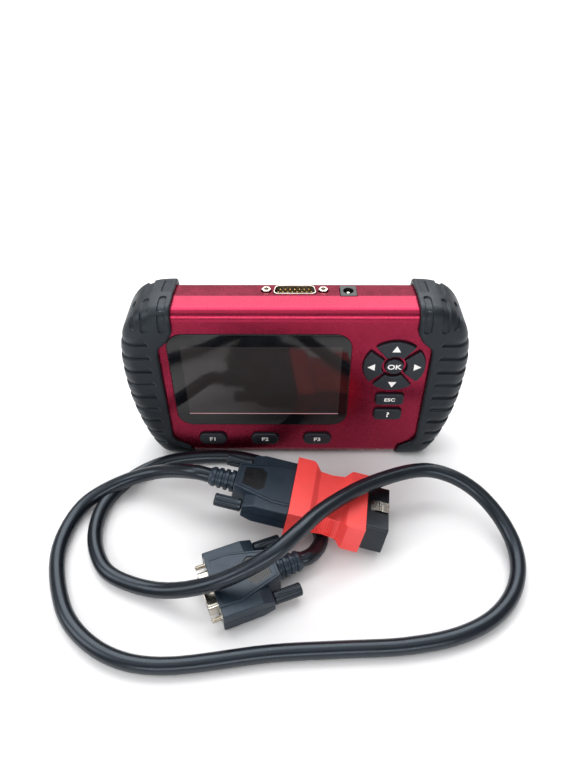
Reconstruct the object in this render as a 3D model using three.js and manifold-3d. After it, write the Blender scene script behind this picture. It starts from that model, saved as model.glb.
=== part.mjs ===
// Handheld OBD code reader with its data cable and OBD adapter, in millimetres, +Z up.
// The handset stands on its two rubber boots: X runs across its front, which faces -Y,
// and the origin is under its middle. The cable lies on the surface in front of it.
import * as THREE from 'three';
import { mergeVertices } from 'three/addons/utils/BufferGeometryUtils.js';
import Module from 'manifold-3d';

const wasm = await Module();
wasm.setup();

// ---- driving dimensions ----
const gap = 0.3; // between pieces that touch
const bootReach = 21.8; // how far a boot goes past the casing's end
const bootCover = 2.7; // rubber over the casing's top
const bootProud = 2.8; // how far a boot stands out of the casing's front and back
const bootFillet = 9;
const footWall = 1.4; // rubber under the casing
const caseLength = 165;
const caseHeight = 116.5;
const caseDepth = 36;
const caseWall = 2.5;
const caseEdge = 5; // radius of the casing's long edges
const ridgeY = -1; // behind this line the top and bottom slope away
const slopeDrop = 2.6;
const capThickness = 3;
const railDepth = 2.2;
const screwRadius = 1.2;
const screwLength = 12;
const bossRadius = 3.2;

const glassLeft = 7.6; // margins round the display's glass on the casing's front
const glassRight = 49.1;
const glassBottom = 28.1;
const glassTop = 15;
const glassThickness = 1.5;
const glassProud = 0.3;
const glassCorner = 10;
const panelMarginX = 4.3; // by how much the panel is smaller than the glass
const panelMarginZ = 7.4;
const panelThickness = 3;

const keyTravel = 1.2;
const keyProud = 2;
const keyClearance = 0.4; // round a key in its hole
const keyFlange = 1.2; // thickness of a key's flange and of the mat
const flangeGrow = 0.9;
const functionKey = { width: 18, height: 9.5, corner: 4 };
const sideKey = { width: 17.5, height: 9, corner: 2.6 };
const padInset = 23.2; // middle of the pad, from the casing's end and from its top
const padDrop = 37.9;
const padRadius = 18.5;
const padInner = 7.6;
const padHalfAngle = 0.68;
const okRadius = 5.6;
const matThickness = keyFlange;

const boardThickness = 1.6;
const boardSpace = 0.9; // between the keypad board and the main board
const portInset = 12.3; // middle of the handset's D-sub port, from the casing's back
const jackX = 31.2;
const jackInset = 14;
const jackWidth = 9.5;
const jackLength = 10.5;
const jackBore = 3.1;
const jackPinRadius = 1;

const screwSpacing = 33.3; // between the two screws of a 15-way D-sub
const shellWidth = 25.4;
const shellHeight = 8.5;
const shellWall = 0.4;
const shellReach = 5.5;
const flangeWidth = 39.2;
const flangeHeight = 12.5;
const flangeThickness = 1;
const pinPitch = 2.77;
const rowPitch = 2.84;
const pinRadius = 0.5;
const nutAcross = 2.8; // half width of a hexagonal jackscrew
const portClearance = 0.5; // round the port and its jackscrews in the casing
const socketRadius = 0.8;

const hoodWidth = 41.6;
const hoodThickness = 13.6;
const hoodPanel = 0.7; // how far the middle panel stands out of the hood
const gripRecess = 0.5;
const hoodShoulder = 22.5;
const hoodRear = 29.2;
const hoodTongue = 36.8;
const reliefRoot = 6.5;
const reliefTip = 5.9;
const reliefLength = 15.2;
const reliefRings = 4;
const knobRadius = 3.7;
const knobLength = 16;
const jackscrewRadius = 1.5;

const adapterLength = 44.5;
const adapterWidth = 45.6;
const adapterTail = 43.2; // width at the OBD end
const adapterThickness = 20.2;
const waistWidth = 33.4;
const waistRecess = 2.5;
const hoodSeat = 2.7; // how far the hood goes into the adapter
const seatClearance = 0.4;
const plateDepth = 9.2; // the shroud's base plate, inside the adapter
const plateHalf = 17;
const plateRise = 6.5;
const shroudTop = 33;
const shroudBottom = 38.6;
const shroudHeight = 17.7;
const shroudReach = 13.3;
const shroudWall = 1.5;
const contactPitch = 4;
const contactRow = 4.3;

const cableDiameter = 8.8;
const cableSides = 10;
const cableSteps = 80;

const caseBottom = footWall;
const caseTop = caseBottom + caseHeight;
const front = -caseDepth / 2;
const innerFront = front + caseWall;
const innerTop = caseTop - caseWall;
const innerBottom = caseBottom + caseWall;
const caseEnd = caseLength / 2;
const bootTop = caseTop + bootCover;
const bootHalf = caseEnd + bootReach;
const glassWidth = caseLength - glassLeft - glassRight;
const glassHeight = caseHeight - glassBottom - glassTop;
const panelWidth = glassWidth - panelMarginX;
const panelHeight = glassHeight - panelMarginZ;
const screenX = -caseEnd + glassLeft + glassWidth / 2;
const screenZ = caseBottom + glassBottom + glassHeight / 2;
const padX = caseEnd - padInset;
const padZ = caseTop - padDrop;
const portY = caseDepth / 2 - portInset;
const jackY = caseDepth / 2 - jackInset;
const bossY = caseDepth / 2 - caseWall - bossRadius + gap;
const bossPlaces = [[bossY, caseBottom + 11], [bossY, caseTop - 22.5]];

// ---- solids ----
const solidOf = (geometry) => {
  const bare = geometry.index ? geometry.toNonIndexed() : geometry.clone();
  bare.deleteAttribute('normal');
  bare.deleteAttribute('uv');
  const merged = mergeVertices(bare, 1e-4);
  return new wasm.Manifold(new wasm.Mesh({
    numProp: 3,
    vertProperties: new Float32Array(merged.attributes.position.array),
    triVerts: new Uint32Array(merged.index.array),
  }));
};

const geometryOf = (solid) => {
  const mesh = solid.getMesh();
  const geometry = new THREE.BufferGeometry();
  geometry.setAttribute('position', new THREE.BufferAttribute(mesh.vertProperties, 3));
  geometry.setIndex(new THREE.BufferAttribute(mesh.triVerts, 1));
  geometry.computeVertexNormals();
  return geometry;
};

const joined = (...solids) => solids.reduce((a, b) => a.add(b));
const without = (solid, ...cutters) => cutters.reduce((a, b) => a.subtract(b), solid);

// A closed outline with rounded corners; a point is [x, y, radius].
const outline = (points, radius = 0) => {
  const at = points.map(([x, y]) => new THREE.Vector2(x, y));
  const shape = new THREE.Shape();
  at.forEach((corner, i) => {
    const size = points[i][2] ?? radius;
    const before = at[(i + at.length - 1) % at.length];
    const after = at[(i + 1) % at.length];
    const start = corner.clone().add(before.clone().sub(corner).setLength(size));
    const end = corner.clone().add(after.clone().sub(corner).setLength(size));
    if (i === 0) shape.moveTo(start.x, start.y);
    else shape.lineTo(start.x, start.y);
    if (size > 0) shape.quadraticCurveTo(corner.x, corner.y, end.x, end.y);
  });
  shape.closePath();
  return shape;
};

const mirrored = (half) => [...half, ...half.map(([x, y, r]) => [x, -y, r]).reverse()];

const rectangle = (width, height, radius = 0, x = 0, y = 0) => outline([
  [x - width / 2, y - height / 2], [x + width / 2, y - height / 2],
  [x + width / 2, y + height / 2], [x - width / 2, y + height / 2],
], radius);

const circle = (radius, x = 0, y = 0) => {
  const shape = new THREE.Shape();
  shape.absarc(x, y, radius, 0, Math.PI * 2);
  return shape;
};

const extruded = (shape, length, rounds) => new THREE.ExtrudeGeometry(shape, {
  depth: length, bevelEnabled: false, curveSegments: rounds,
});

// An outline in (Y, Z) run along X, in (X, Z) run along Y, and in (X, Y) run along Z.
const alongX = (shape, low, high, rounds = 4) => {
  const turn = new THREE.Matrix4().makeBasis(
    new THREE.Vector3(0, 1, 0), new THREE.Vector3(0, 0, 1), new THREE.Vector3(1, 0, 0));
  turn.setPosition(low, 0, 0);
  return solidOf(extruded(shape, high - low, rounds).applyMatrix4(turn));
};

const alongY = (shape, low, high, rounds = 4) => {
  const turn = new THREE.Matrix4().makeBasis(
    new THREE.Vector3(1, 0, 0), new THREE.Vector3(0, 0, 1), new THREE.Vector3(0, -1, 0));
  turn.setPosition(0, high, 0);
  return solidOf(extruded(shape, high - low, rounds).applyMatrix4(turn));
};

const alongZ = (shape, low, high, rounds = 4) => (
  solidOf(extruded(shape, high - low, rounds).translate(0, 0, low)));

const box = (x0, x1, y0, y1, z0, z1) => solidOf(new THREE.BoxGeometry(x1 - x0, y1 - y0, z1 - z0)
  .translate((x0 + x1) / 2, (y0 + y1) / 2, (z0 + z1) / 2));

const rod = (radius, low, high, y, z, sides = 12) => (
  alongX(circle(radius, y, z), low, high, sides / 2));

const post = (radius, low, high, x, y, sides = 12) => (
  alongZ(circle(radius, x, y), low, high, sides / 2));

// ---- finishes and the scene graph ----
const finish = (colour, roughness, metalness) => ({ colour, roughness, metalness });
const anodised = finish(0x9c1736, 0.35, 0.8);
const rubber = finish(0x1b1d20, 0.75, 0);
const keyRubber = finish(0x15161a, 0.55, 0);
const moulding = finish(0x22272d, 0.6, 0);
const redPlastic = finish(0xd93a3f, 0.45, 0);
const blackPlastic = finish(0x141518, 0.5, 0);
const glossBlack = finish(0x08080a, 0.08, 0);
const nickel = finish(0xb9b6ae, 0.3, 1);
const boardGreen = finish(0x1c5a3a, 0.6, 0);
const ribbonFoil = finish(0xb5863a, 0.5, 0);

const reader = new THREE.Group();

const addPiece = (name, solid, look, parent = reader) => {
  const mesh = new THREE.Mesh(geometryOf(solid), new THREE.MeshStandardMaterial({
    color: look.colour, roughness: look.roughness, metalness: look.metalness,
  }));
  mesh.name = name;
  parent.add(mesh);
};

// ---- handset casing ----
const caseOutline = (inset) => {
  const half = caseDepth / 2 - inset;
  const top = caseTop - inset;
  const bottom = caseBottom + inset;
  const edge = Math.max(caseEdge - inset, 1);
  return outline([
    [-half, bottom, edge], [ridgeY, bottom, 0.5], [half, bottom + slopeDrop, edge],
    [half, top - slopeDrop, edge], [ridgeY, top, 0.5], [-half, top, edge],
  ]);
};

const pillShape = (key, x, z) => (grow) => (
  rectangle(key.width + 2 * grow, key.height + 2 * grow, key.corner + grow, x, z));

const padShape = (turn) => (grow) => {
  const low = padInner - grow;
  const high = padRadius + grow;
  const lowAngle = padHalfAngle + grow / low / 2;
  const highAngle = padHalfAngle + grow / high / 2;
  const shape = new THREE.Shape();
  shape.absarc(padX, padZ, high, turn - highAngle, turn + highAngle, false);
  shape.absarc(padX, padZ, low, turn + lowAngle, turn - lowAngle, true);
  shape.closePath();
  return shape;
};

const sideKeyDrops = { key_esc: 26.7, key_help: 39.7 }; // below the pad's middle
const functionKeyZ = caseBottom + 15.8;
const functionKeyXs = { key_f1: 21.1, key_f2: 55.6, key_f3: 90.1 }; // from the glass's left side
const padTurns = { key_right: 0, key_up: Math.PI / 2, key_left: Math.PI, key_down: -Math.PI / 2 };

const pillKey = (name, size, x, z) => ({
  name, x, z, shape: pillShape(size, x, z), grow: flangeGrow,
});

const padGrow = keyClearance + 0.15;
const keys = [
  ...Object.entries(functionKeyXs).map(([name, along]) => (
    pillKey(name, functionKey, screenX - glassWidth / 2 + along, functionKeyZ))),
  ...Object.entries(sideKeyDrops).map(([name, drop]) => (
    pillKey(name, sideKey, padX, padZ - drop))),
  ...Object.entries(padTurns).map(([name, turn]) => ({
    name,
    x: padX + Math.cos(turn) * (padRadius + padInner) / 2,
    z: padZ + Math.sin(turn) * (padRadius + padInner) / 2,
    shape: padShape(turn),
    grow: padGrow,
  })),
  {
    name: 'key_ok',
    x: padX,
    z: padZ,
    shape: (grow) => circle(okRadius + grow, padX, padZ),
    grow: padGrow,
  },
];

// Places that the casing and the pieces in it share.
const flangeFront = innerFront + gap;
const flangeBack = flangeFront + keyFlange;
const keyStemBack = flangeBack + 1;
const keypadFront = keyStemBack + keyTravel + gap;
const mainBoardY = keypadFront + boardThickness + boardSpace;
const portFlangeTop = innerTop - slopeDrop - gap;
const portBoardTop = portFlangeTop - 9;
const jackTop = caseTop + 0.3;
const capInner = caseEnd - capThickness;
const bossEnd = capInner - gap;

const dOutline = (grow, x = 0, y = 0) => {
  const half = shellWidth / 2 + grow;
  const rise = shellHeight / 2 + grow;
  const lean = 1.4;
  return outline([
    [x - half + lean, y - rise], [x + half - lean, y - rise],
    [x + half, y + rise], [x - half, y + rise],
  ], 2.2);
};

const turnedRound = (solid) => solid.rotate([0, 0, 180]);

const caseShell = () => {
  const profile = caseOutline(0);
  profile.holes.push(new THREE.Path(caseOutline(caseWall).getPoints(4)));
  let shell = alongX(profile, -caseEnd, caseEnd);
  bossPlaces.forEach(([y, z]) => {
    const channel = rod(bossRadius, -bossEnd, bossEnd, y, z);
    shell = shell.add(channel).subtract(rod(screwRadius + gap, -bossEnd - 1, bossEnd + 1, y, z, 8));
  });
  const rails = [
    [innerBottom - 0.5, innerBottom + railDepth],
    [innerTop - railDepth, innerTop + 0.5],
  ];
  for (const [z0, z1] of rails) {
    for (const y of [mainBoardY - gap - 1.2, mainBoardY + boardThickness + gap]) {
      shell = shell.add(box(-bossEnd, bossEnd, y, y + 1.2, z0, z1));
    }
  }
  const seat = rectangle(
    glassWidth + 2 * gap, glassHeight + 2 * gap, glassCorner, screenX, screenZ);
  const holeLow = innerTop - slopeDrop - 1;
  const holeHigh = caseTop + 1;
  shell = without(
    shell,
    alongY(seat, front - 1, front + glassThickness - glassProud + gap),
    box(screenX - panelWidth / 2, screenX + panelWidth / 2, front - 1, innerFront + 1,
      screenZ - panelHeight / 2 + 1, screenZ + panelHeight / 2 - 1),
    ...keys.map((key) => alongY(key.shape(keyClearance), front - 1, innerFront + 1)),
    turnedRound(alongZ(dOutline(portClearance), holeLow, holeHigh)).translate([0, portY, 0]),
    ...[-1, 1].map((side) => (
      post(nutAcross + portClearance, holeLow, holeHigh, side * screwSpacing / 2, portY))),
    box(jackX - jackWidth / 2 - gap, jackX + jackWidth / 2 + gap, jackY - jackLength / 2 - gap,
      jackY + jackLength / 2 + gap, holeLow, holeHigh),
  );
  return shell;
};

const endCap = (side) => {
  const plate = alongX(caseOutline(caseWall + gap), capInner, caseEnd);
  const bores = bossPlaces.flatMap(([y, z]) => [
    rod(screwRadius + gap, capInner - 1, caseEnd + 1, y, z, 8),
    rod(screwRadius * 2 + gap, caseEnd - 1.8, caseEnd + 1, y, z),
  ]);
  const cap = without(plate, ...bores);
  return side < 0 ? cap.mirror([1, 0, 0]) : cap;
};

const capScrew = (side, [y, z]) => {
  const headBase = caseEnd - 1.5;
  const screw = joined(
    rod(screwRadius * 2, headBase, headBase + 1.3, y, z),
    rod(screwRadius, headBase - screwLength, headBase + 0.2, y, z, 8),
  );
  return side < 0 ? screw.mirror([1, 0, 0]) : screw;
};

// ---- rubber boots ----
// The bulge of a boot, from the foot round to the top: how far out and how high each point
// is, as shares of the boot's reach and of its height.
const bootBulge = [
  [-0.023, 0], [0.275, 0.015], [0.537, 0.087], [0.748, 0.203], [0.885, 0.319],
  [0.968, 0.435], [1, 0.564], [0.986, 0.68], [0.913, 0.779], [0.739, 0.879],
  [0.413, 0.954], [-0.023, 0.988], [-0.573, 1],
].map(([out, up]) => [caseEnd + out * bootReach, up * bootTop]);
// Where a boot ends on the casing's front and back.
const bootInnerEdge = [
  [caseEnd - 14.5, -5], [caseEnd - 14.5, 5], [caseEnd - 13, 10], [caseEnd - 4.5, 15.5],
  [caseEnd - 2.5, 19.5], [caseEnd - 2.5, bootTop - 32.1], [caseEnd - 3.2, bootTop - 27.1],
  [caseEnd - 9, bootTop - 22.1], [caseEnd - 12.5, bootTop - 15.6], [caseEnd - 12.5, bootTop + 10],
];
const gripPitch = 10.3;
const gripStart = 15.5;
const gripInset = 1.5; // from the casing's end
const gripGrooves = Math.floor((bootTop - 22 - gripStart) / gripPitch) + 1;
const grooveHeight = 3;
const grooveDepth = 1.2;

const slotXs = [caseEnd - 7.2, caseEnd + 2.9]; // channels over the edges of a boot's top
const slotWidth = 4.2;
const slotFloor = bootTop - 13.8;
const slotFront = -0.8;
const slotBack = 4.8;
const ridgeOnBoot = 2.5;
const bootDepth = caseDepth / 2 + bootProud;

const bootSlab = (inset) => {
  const reach = bootDepth;
  const round = Math.min(bootFillet, bootDepth - 1);
  const ring = [...bootBulge, ...bootBulge.map(([x, z]) => [-x, z]).reverse()];
  const slab = new THREE.ExtrudeGeometry(outline(ring), {
    depth: 2 * (reach - round),
    bevelThickness: round - inset,
    bevelSize: round - inset,
    bevelOffset: -round,
    bevelSegments: 3,
    curveSegments: 4,
  });
  const turn = new THREE.Matrix4().makeBasis(
    new THREE.Vector3(1, 0, 0), new THREE.Vector3(0, 0, 1), new THREE.Vector3(0, -1, 0));
  turn.setPosition(0, reach - round, 0);
  const sloped = alongX(outline([
    [-reach - 1, -1], [reach + 1, -1], [reach + 1, bootTop - slopeDrop - inset],
    [ridgeOnBoot, bootTop - inset], [-reach - 1, bootTop - inset],
  ]), -bootHalf - 1, bootHalf + 1);
  return solidOf(slab.applyMatrix4(turn)).intersect(sloped);
};

// A boot is the slab less the casing's bay and less what its grooves and channels take off
// down to a slab one groove smaller.
const boot = (side) => {
  const outer = outline([...bootInnerEdge, [bootHalf + 1, bootTop + 10], [bootHalf + 1, -5]]);
  const reach = bootDepth + 1;
  const inner = bootSlab(grooveDepth);
  const bands = [];
  for (let i = 0; i < gripGrooves; i += 1) {
    const z = gripStart + i * gripPitch;
    bands.push(box(caseEnd + gripInset, bootHalf + 1, -reach, reach,
      z - grooveHeight / 2, z + grooveHeight / 2));
  }
  for (const x of slotXs) {
    for (const [y0, y1] of [[-reach, slotFront], [slotBack, reach]]) {
      bands.push(box(x - slotWidth / 2, x + slotWidth / 2, y0, y1, slotFloor, bootTop + 1));
    }
  }
  const pocket = caseEnd + gap;
  const cover = without(
    bootSlab(0).intersect(alongY(outer, -reach, reach)),
    ...bands.map((band) => band.subtract(inner)),
    alongX(caseOutline(-gap), -pocket, pocket),
  );
  return side < 0 ? cover.mirror([1, 0, 0]) : cover;
};

// ---- display ----
const displayGlass = () => alongY(
  rectangle(glassWidth, glassHeight, glassCorner, screenX, screenZ),
  front - glassProud, front - glassProud + glassThickness);

const panelFront = innerFront + gap;
const panelBack = panelFront + panelThickness;

const displayPanel = () => box(
  screenX - panelWidth / 2, screenX + panelWidth / 2, panelFront, panelBack,
  screenZ - panelHeight / 2, screenZ + panelHeight / 2);

// A flat flexible lead that folds from the back of the panel to the main board.
const displayRibbon = () => {
  const y0 = panelBack + gap;
  const y1 = mainBoardY - gap;
  const low = screenZ - panelHeight / 2 - 2;
  const foil = 0.5;
  return alongX(outline([
    [y0, low + 12], [y0, low], [y1, low], [y1, low + 12], [y1 - foil, low + 12],
    [y1 - foil, low + foil], [y0 + foil, low + foil], [y0 + foil, low + 12],
  ]), screenX - 10, screenX + 10);
};

// ---- keypad ----
const keypadRight = capInner - 0.7;
const keypadLeft = screenX + panelWidth / 2 + 4;
const keypadEnd = -caseEnd + 12.5;
const keypadLow = caseBottom + 6;
const stripTop = functionKeyZ + 9.8;
const keypadTop = padZ + padRadius + 4.5;
const keypadOutline = (inset) => outline([
  [keypadEnd + inset, keypadLow + inset],
  [keypadRight - inset, keypadLow + inset],
  [keypadRight - inset, keypadTop - inset],
  [keypadLeft + inset, keypadTop - inset],
  [keypadLeft + inset, stripTop - inset],
  [keypadEnd + inset, stripTop - inset],
]);

const keyPiece = (key) => joined(
  alongY(key.shape(0), front - keyProud, flangeFront + 0.1),
  alongY(key.shape(key.grow), flangeFront, flangeBack),
  alongY(circle(2.2, key.x, key.z), flangeBack - 0.1, keyStemBack, 3),
);

const keypadMat = () => {
  const pills = keys.filter((key) => key.grow === flangeGrow);
  return without(
    alongY(keypadOutline(0), flangeFront, flangeFront + matThickness),
    alongY(circle(padRadius + 1.4, padX, padZ), flangeFront - 1, flangeBack + 1, 10),
    ...pills.map((key) => alongY(key.shape(flangeGrow + 0.5), flangeFront - 1, flangeBack + 1)),
  );
};

const keypadBoard = () => alongY(keypadOutline(0.5), keypadFront, keypadFront + boardThickness);

// ---- electronics ----
const mainBoardBack = mainBoardY + boardThickness;
const chipFront = mainBoardBack + gap;

const mainBoard = () => box(
  -bossEnd + 1, bossEnd - 1, mainBoardY, mainBoardBack, innerBottom + gap, innerTop - gap);

// A chip stands on the main board, its middle that far below the port board's top.
const chip = (x, drop, width, height, thickness) => box(
  x - width / 2, x + width / 2, chipFront, chipFront + thickness,
  portBoardTop - drop - height / 2, portBoardTop - drop + height / 2);

const buzzer = () => {
  const x = -bossEnd + 21.2;
  const z = caseBottom + 30;
  const can = alongY(circle(6, x, z), chipFront, chipFront + 7.5, 8);
  return can.subtract(alongY(circle(1, x, z), chipFront + 5, chipFront + 10, 3));
};

const portBoardBase = portBoardTop - boardThickness;
const portBoard = () => box(
  -28, 46, chipFront, caseDepth / 2 - caseWall - 2.5, portBoardBase, portBoardTop);

const boardHeader = () => box(
  -18, 18, chipFront, mainBoardBack + 6, portBoardBase - gap - 5, portBoardBase - gap);

// The 15 places of a D-sub's contacts, in two rows.
const contactPlaces = () => {
  const places = [];
  for (let i = 0; i < 8; i += 1) places.push([(i - 3.5) * pinPitch, rowPitch / 2]);
  for (let i = 0; i < 7; i += 1) places.push([(i - 3) * pinPitch, -rowPitch / 2]);
  return places;
};

// The port stands in the casing's top with its wide side to the front.
const inPort = (solid) => turnedRound(solid).translate([0, portY, portFlangeTop]);

// A D-sub's metal shell stands on its flange, whose top is at z = 0.
const dShell = () => without(
  joined(
    alongZ(dOutline(0), -0.1, shellReach),
    box(-flangeWidth / 2, flangeWidth / 2, -flangeHeight / 2, flangeHeight / 2, -flangeThickness, 0),
  ),
  alongZ(dOutline(-shellWall), -flangeThickness - 1, shellReach + 1),
  ...[-1, 1].map((side) => (
    post(jackscrewRadius + gap, -flangeThickness - 1, 1, side * screwSpacing / 2, 0))),
);

const dInsert = (top, back) => joined(
  alongZ(dOutline(-shellWall - gap), -flangeThickness - gap - 0.1, top),
  box(-12.5, 12.5, -4.7, 4.7, -back, -flangeThickness - gap),
);

const dPins = (base, top) => joined(
  alongZ(dOutline(-shellWall - gap), base, base + 0.5),
  ...contactPlaces().map(([x, y]) => post(pinRadius, base + 0.4, top, x, y, 4)),
);

const dSockets = (solid, top, depth) => without(
  solid, ...contactPlaces().map(([x, y]) => post(socketRadius, top - depth, top + 1, x, y, 4)));

const portJackscrew = (side) => {
  const x = -side * screwSpacing / 2;
  const hexTop = caseTop - portFlangeTop + 0.5;
  return without(
    joined(
      post(nutAcross, gap, hexTop, x, 0, 6),
      post(jackscrewRadius - 0.1, -4, gap + 0.1, x, 0, 8),
    ),
    post(jackscrewRadius, hexTop - 4, hexTop + 1, x, 0, 8),
  );
};

const jackBase = portBoardTop + gap;
const dcJack = () => without(
  box(jackX - jackWidth / 2, jackX + jackWidth / 2,
    jackY - jackLength / 2, jackY + jackLength / 2, jackBase, jackTop),
  post(jackBore, jackTop - 9.5, jackTop + 1, jackX, jackY, 16),
  post(jackPinRadius + gap, jackBase + 1, jackTop, jackX, jackY, 8),
);

const dcJackPin = () => post(jackPinRadius, jackBase + 1 + gap, jackTop - 1.2, jackX, jackY, 8);

// ---- cable plugs ----
// A plug's own frame: +X runs from its mating face to its cable, +Z is up through the hood,
// and its mating face is at x = 0.
// Turns a connector that stands up +Z so that it faces -X, with its rows one above the other.
const facing = (solid) => {
  const turn = new THREE.Matrix4().makeRotationY(-Math.PI / 2)
    .multiply(new THREE.Matrix4().makeRotationZ(Math.PI / 2));
  return solid.transform(turn.elements);
};

const flangeSeat = flangeThickness + 2 * gap;

const plugHood = () => {
  const half = hoodThickness / 2;
  const body = alongY(outline([
    [0, -half, 0.8], [hoodShoulder, -half, 1.2], [hoodRear, -4.3, 0.8],
    [hoodRear, 4.3, 0.8], [hoodShoulder, half, 1.2], [0, half, 0.8],
  ]), -hoodWidth / 2, hoodWidth / 2, 2);
  const face = half + hoodPanel;
  const side = hoodWidth / 2 - 5.6;
  const panel = alongZ(
    outline(mirrored([[0, -side], [13.5, -side], [hoodTongue, -8.8]])), -face, face);
  const grip = outline(mirrored([[19.5, -6.4], [23, -9], [33, -6.8]]));
  return without(
    joined(body, panel),
    box(-1, flangeSeat, -flangeWidth / 2 - gap, flangeWidth / 2 + gap,
      -flangeHeight / 2 - gap, flangeHeight / 2 + gap),
    box(0, 13, -13.2, 13.2, -5.3, 5.3),
    ...[-1, 1].map((screw) => (
      rod(jackscrewRadius + 2 * gap, -1, hoodRear + 1, screw * screwSpacing / 2, 0))),
    alongZ(grip, face - gripRecess, face + 1),
    alongZ(grip, -face - 1, -face + gripRecess),
  );
};

const plugRelief = () => {
  const points = [new THREE.Vector2(0, 0)];
  const pitch = reliefLength / reliefRings;
  for (let i = 0; i < reliefRings; i += 1) {
    const radius = THREE.MathUtils.lerp(reliefRoot, reliefTip, i / (reliefRings - 1));
    const start = i * pitch;
    points.push(new THREE.Vector2(radius, start), new THREE.Vector2(radius, start + pitch * 0.6));
    points.push(new THREE.Vector2(5, start + pitch * 0.7), new THREE.Vector2(5, start + pitch));
  }
  points.push(new THREE.Vector2(0, reliefLength));
  const turn = new THREE.LatheGeometry(points, 12).rotateZ(-Math.PI / 2);
  return solidOf(turn.translate(hoodTongue + gap, 0, 0));
};

const thumbscrew = (side) => {
  const y = side * screwSpacing / 2;
  const ribs = 8;
  const points = [];
  for (let i = 0; i < ribs * 4; i += 1) {
    const radius = i % 4 < 2 ? knobRadius : knobRadius - 0.5;
    const angle = (i / (ribs * 4)) * Math.PI * 2;
    points.push([y + radius * Math.cos(angle), radius * Math.sin(angle)]);
  }
  const knobStart = hoodRear + gap;
  return joined(
    alongX(outline(points), knobStart, knobStart + knobLength),
    rod(jackscrewRadius, -shellReach, knobStart + 0.1, y, 0),
  );
};

const insertBack = 11;
const socketFace = shellReach - 0.4;
const socketInsert = () => dSockets(dInsert(socketFace, insertBack), socketFace, 4);
const pinInsert = () => joined(
  dInsert(0.2, insertBack),
  ...contactPlaces().map(([x, y]) => post(pinRadius, 0, shellReach - 0.6, x, y, 4)),
);

const addPlug = (prefix, sockets, place) => {
  const plug = new THREE.Group();
  plug.applyMatrix4(place);
  const seatedOut = (solid) => facing(solid).translate([gap, 0, 0]);
  const insert = sockets ? socketInsert() : pinInsert();
  addPiece(`${prefix}_hood`, plugHood(), moulding, plug);
  addPiece(`${prefix}_relief`, plugRelief(), moulding, plug);
  addPiece(`${prefix}_shell`, seatedOut(dShell()), nickel, plug);
  addPiece(`${prefix}_insert`, seatedOut(insert), blackPlastic, plug);
  addPiece(`${prefix}_screw_left`, thumbscrew(-1), moulding, plug);
  addPiece(`${prefix}_screw_right`, thumbscrew(1), moulding, plug);
  reader.add(plug);
};

// ---- OBD adapter ----
// Its frame is the car plug's pose: +X runs from the plug's seat to the OBD end, +Z is up.
const adapterBody = () => {
  const wide = adapterWidth / 2;
  const tail = adapterTail / 2;
  const waist = waistWidth / 2;
  const half = adapterThickness / 2;
  const low = half - waistRecess;
  const plan = alongZ(outline(mirrored([
    [0, -wide, 0.6], [10, -wide, 2.5], [14.5, -waist - 1.2, 3], [22.5, -waist, 4],
    [30, -waist - 1.6, 3], [34.5, -tail, 2], [adapterLength, -tail, 0.6],
  ])), -half, half);
  const side = alongY(outline(mirrored([
    [0, -half, 0.5], [12, -half, 1], [15, -low, 1], [30.5, -low, 1], [33.5, -half, 1],
    [adapterLength, -half, 0.5],
  ])), -wide - 1, wide + 1);
  const seatWide = hoodWidth / 2 + seatClearance;
  const seatHigh = hoodThickness / 2 + hoodPanel + seatClearance;
  return without(
    plan.intersect(side),
    box(-1, hoodSeat + gap, -seatWide, seatWide, -seatHigh, seatHigh),
    box(0, 14, -13.4, 13.4, -5.5, 5.5),
    ...[-1, 1].map((screw) => rod(nutRadius + gap, 0, 10, screw * screwSpacing / 2, 0)),
    box(adapterLength - plateDepth - gap, adapterLength + 1, -plateHalf - gap, plateHalf + gap,
      -plateRise - gap, plateRise + gap),
  );
};

const nutRadius = 3;
const adapterNut = (side) => rod(nutRadius, hoodSeat + 2 * gap, 9.5, side * screwSpacing / 2, 0)
  .subtract(rod(jackscrewRadius + gap, 0, 12, side * screwSpacing / 2, 0));

// The socket block that the car plug's pins go into: its nose faces the plug.
const adapterPort = () => {
  const base = hoodSeat + shellReach + 3 * gap;
  const nose = shellReach - 0.4;
  const block = joined(
    alongZ(dOutline(-shellWall - gap - 0.1), -0.1, nose),
    box(-13, 13, -5.2, 5.2, base - 13.7, 0),
  );
  return facing(dSockets(block, nose, nose + 1.5)).translate([base, 0, 0]);
};

const shroudOutline = (inset) => {
  const top = adapterThickness / 2 - 2 - inset;
  const bottom = top + inset - shroudHeight + inset;
  return outline([
    [-shroudBottom / 2 + inset, bottom], [shroudBottom / 2 - inset, bottom],
    [shroudTop / 2 - inset, top], [-shroudTop / 2 + inset, top],
  ], 1.6);
};

const shroudStart = adapterLength + gap;
const shroudEnd = shroudStart + shroudReach;
const shroudFloor = shroudStart + 1.8;
const clipFloor = adapterThickness / 2 - 3;

const obdShroud = () => without(
  joined(
    alongX(shroudOutline(0), shroudStart, shroudEnd),
    box(adapterLength - plateDepth, shroudStart + 0.1, -plateHalf, plateHalf,
      -plateRise, plateRise),
  ),
  alongX(shroudOutline(shroudWall), shroudFloor, shroudEnd + 1),
  box(shroudStart + 1.5, shroudEnd + 1, -4.3, 4.3, clipFloor, adapterThickness),
);

const obdPins = () => {
  const start = shroudFloor + gap;
  const middle = adapterThickness / 2 - 2 - shroudHeight / 2;
  const blades = [];
  for (let i = 0; i < 8; i += 1) {
    for (const row of [-1, 1]) {
      const y = (i - 3.5) * contactPitch;
      const z = middle + row * contactRow;
      blades.push(box(start + 0.9, shroudEnd - 2.4, y - 0.75, y + 0.75, z - 0.4, z + 0.4));
    }
  }
  return joined(box(start, start + 1, -14.8, 14.8, middle - 6.4, middle + 6.4), ...blades);
};

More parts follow.
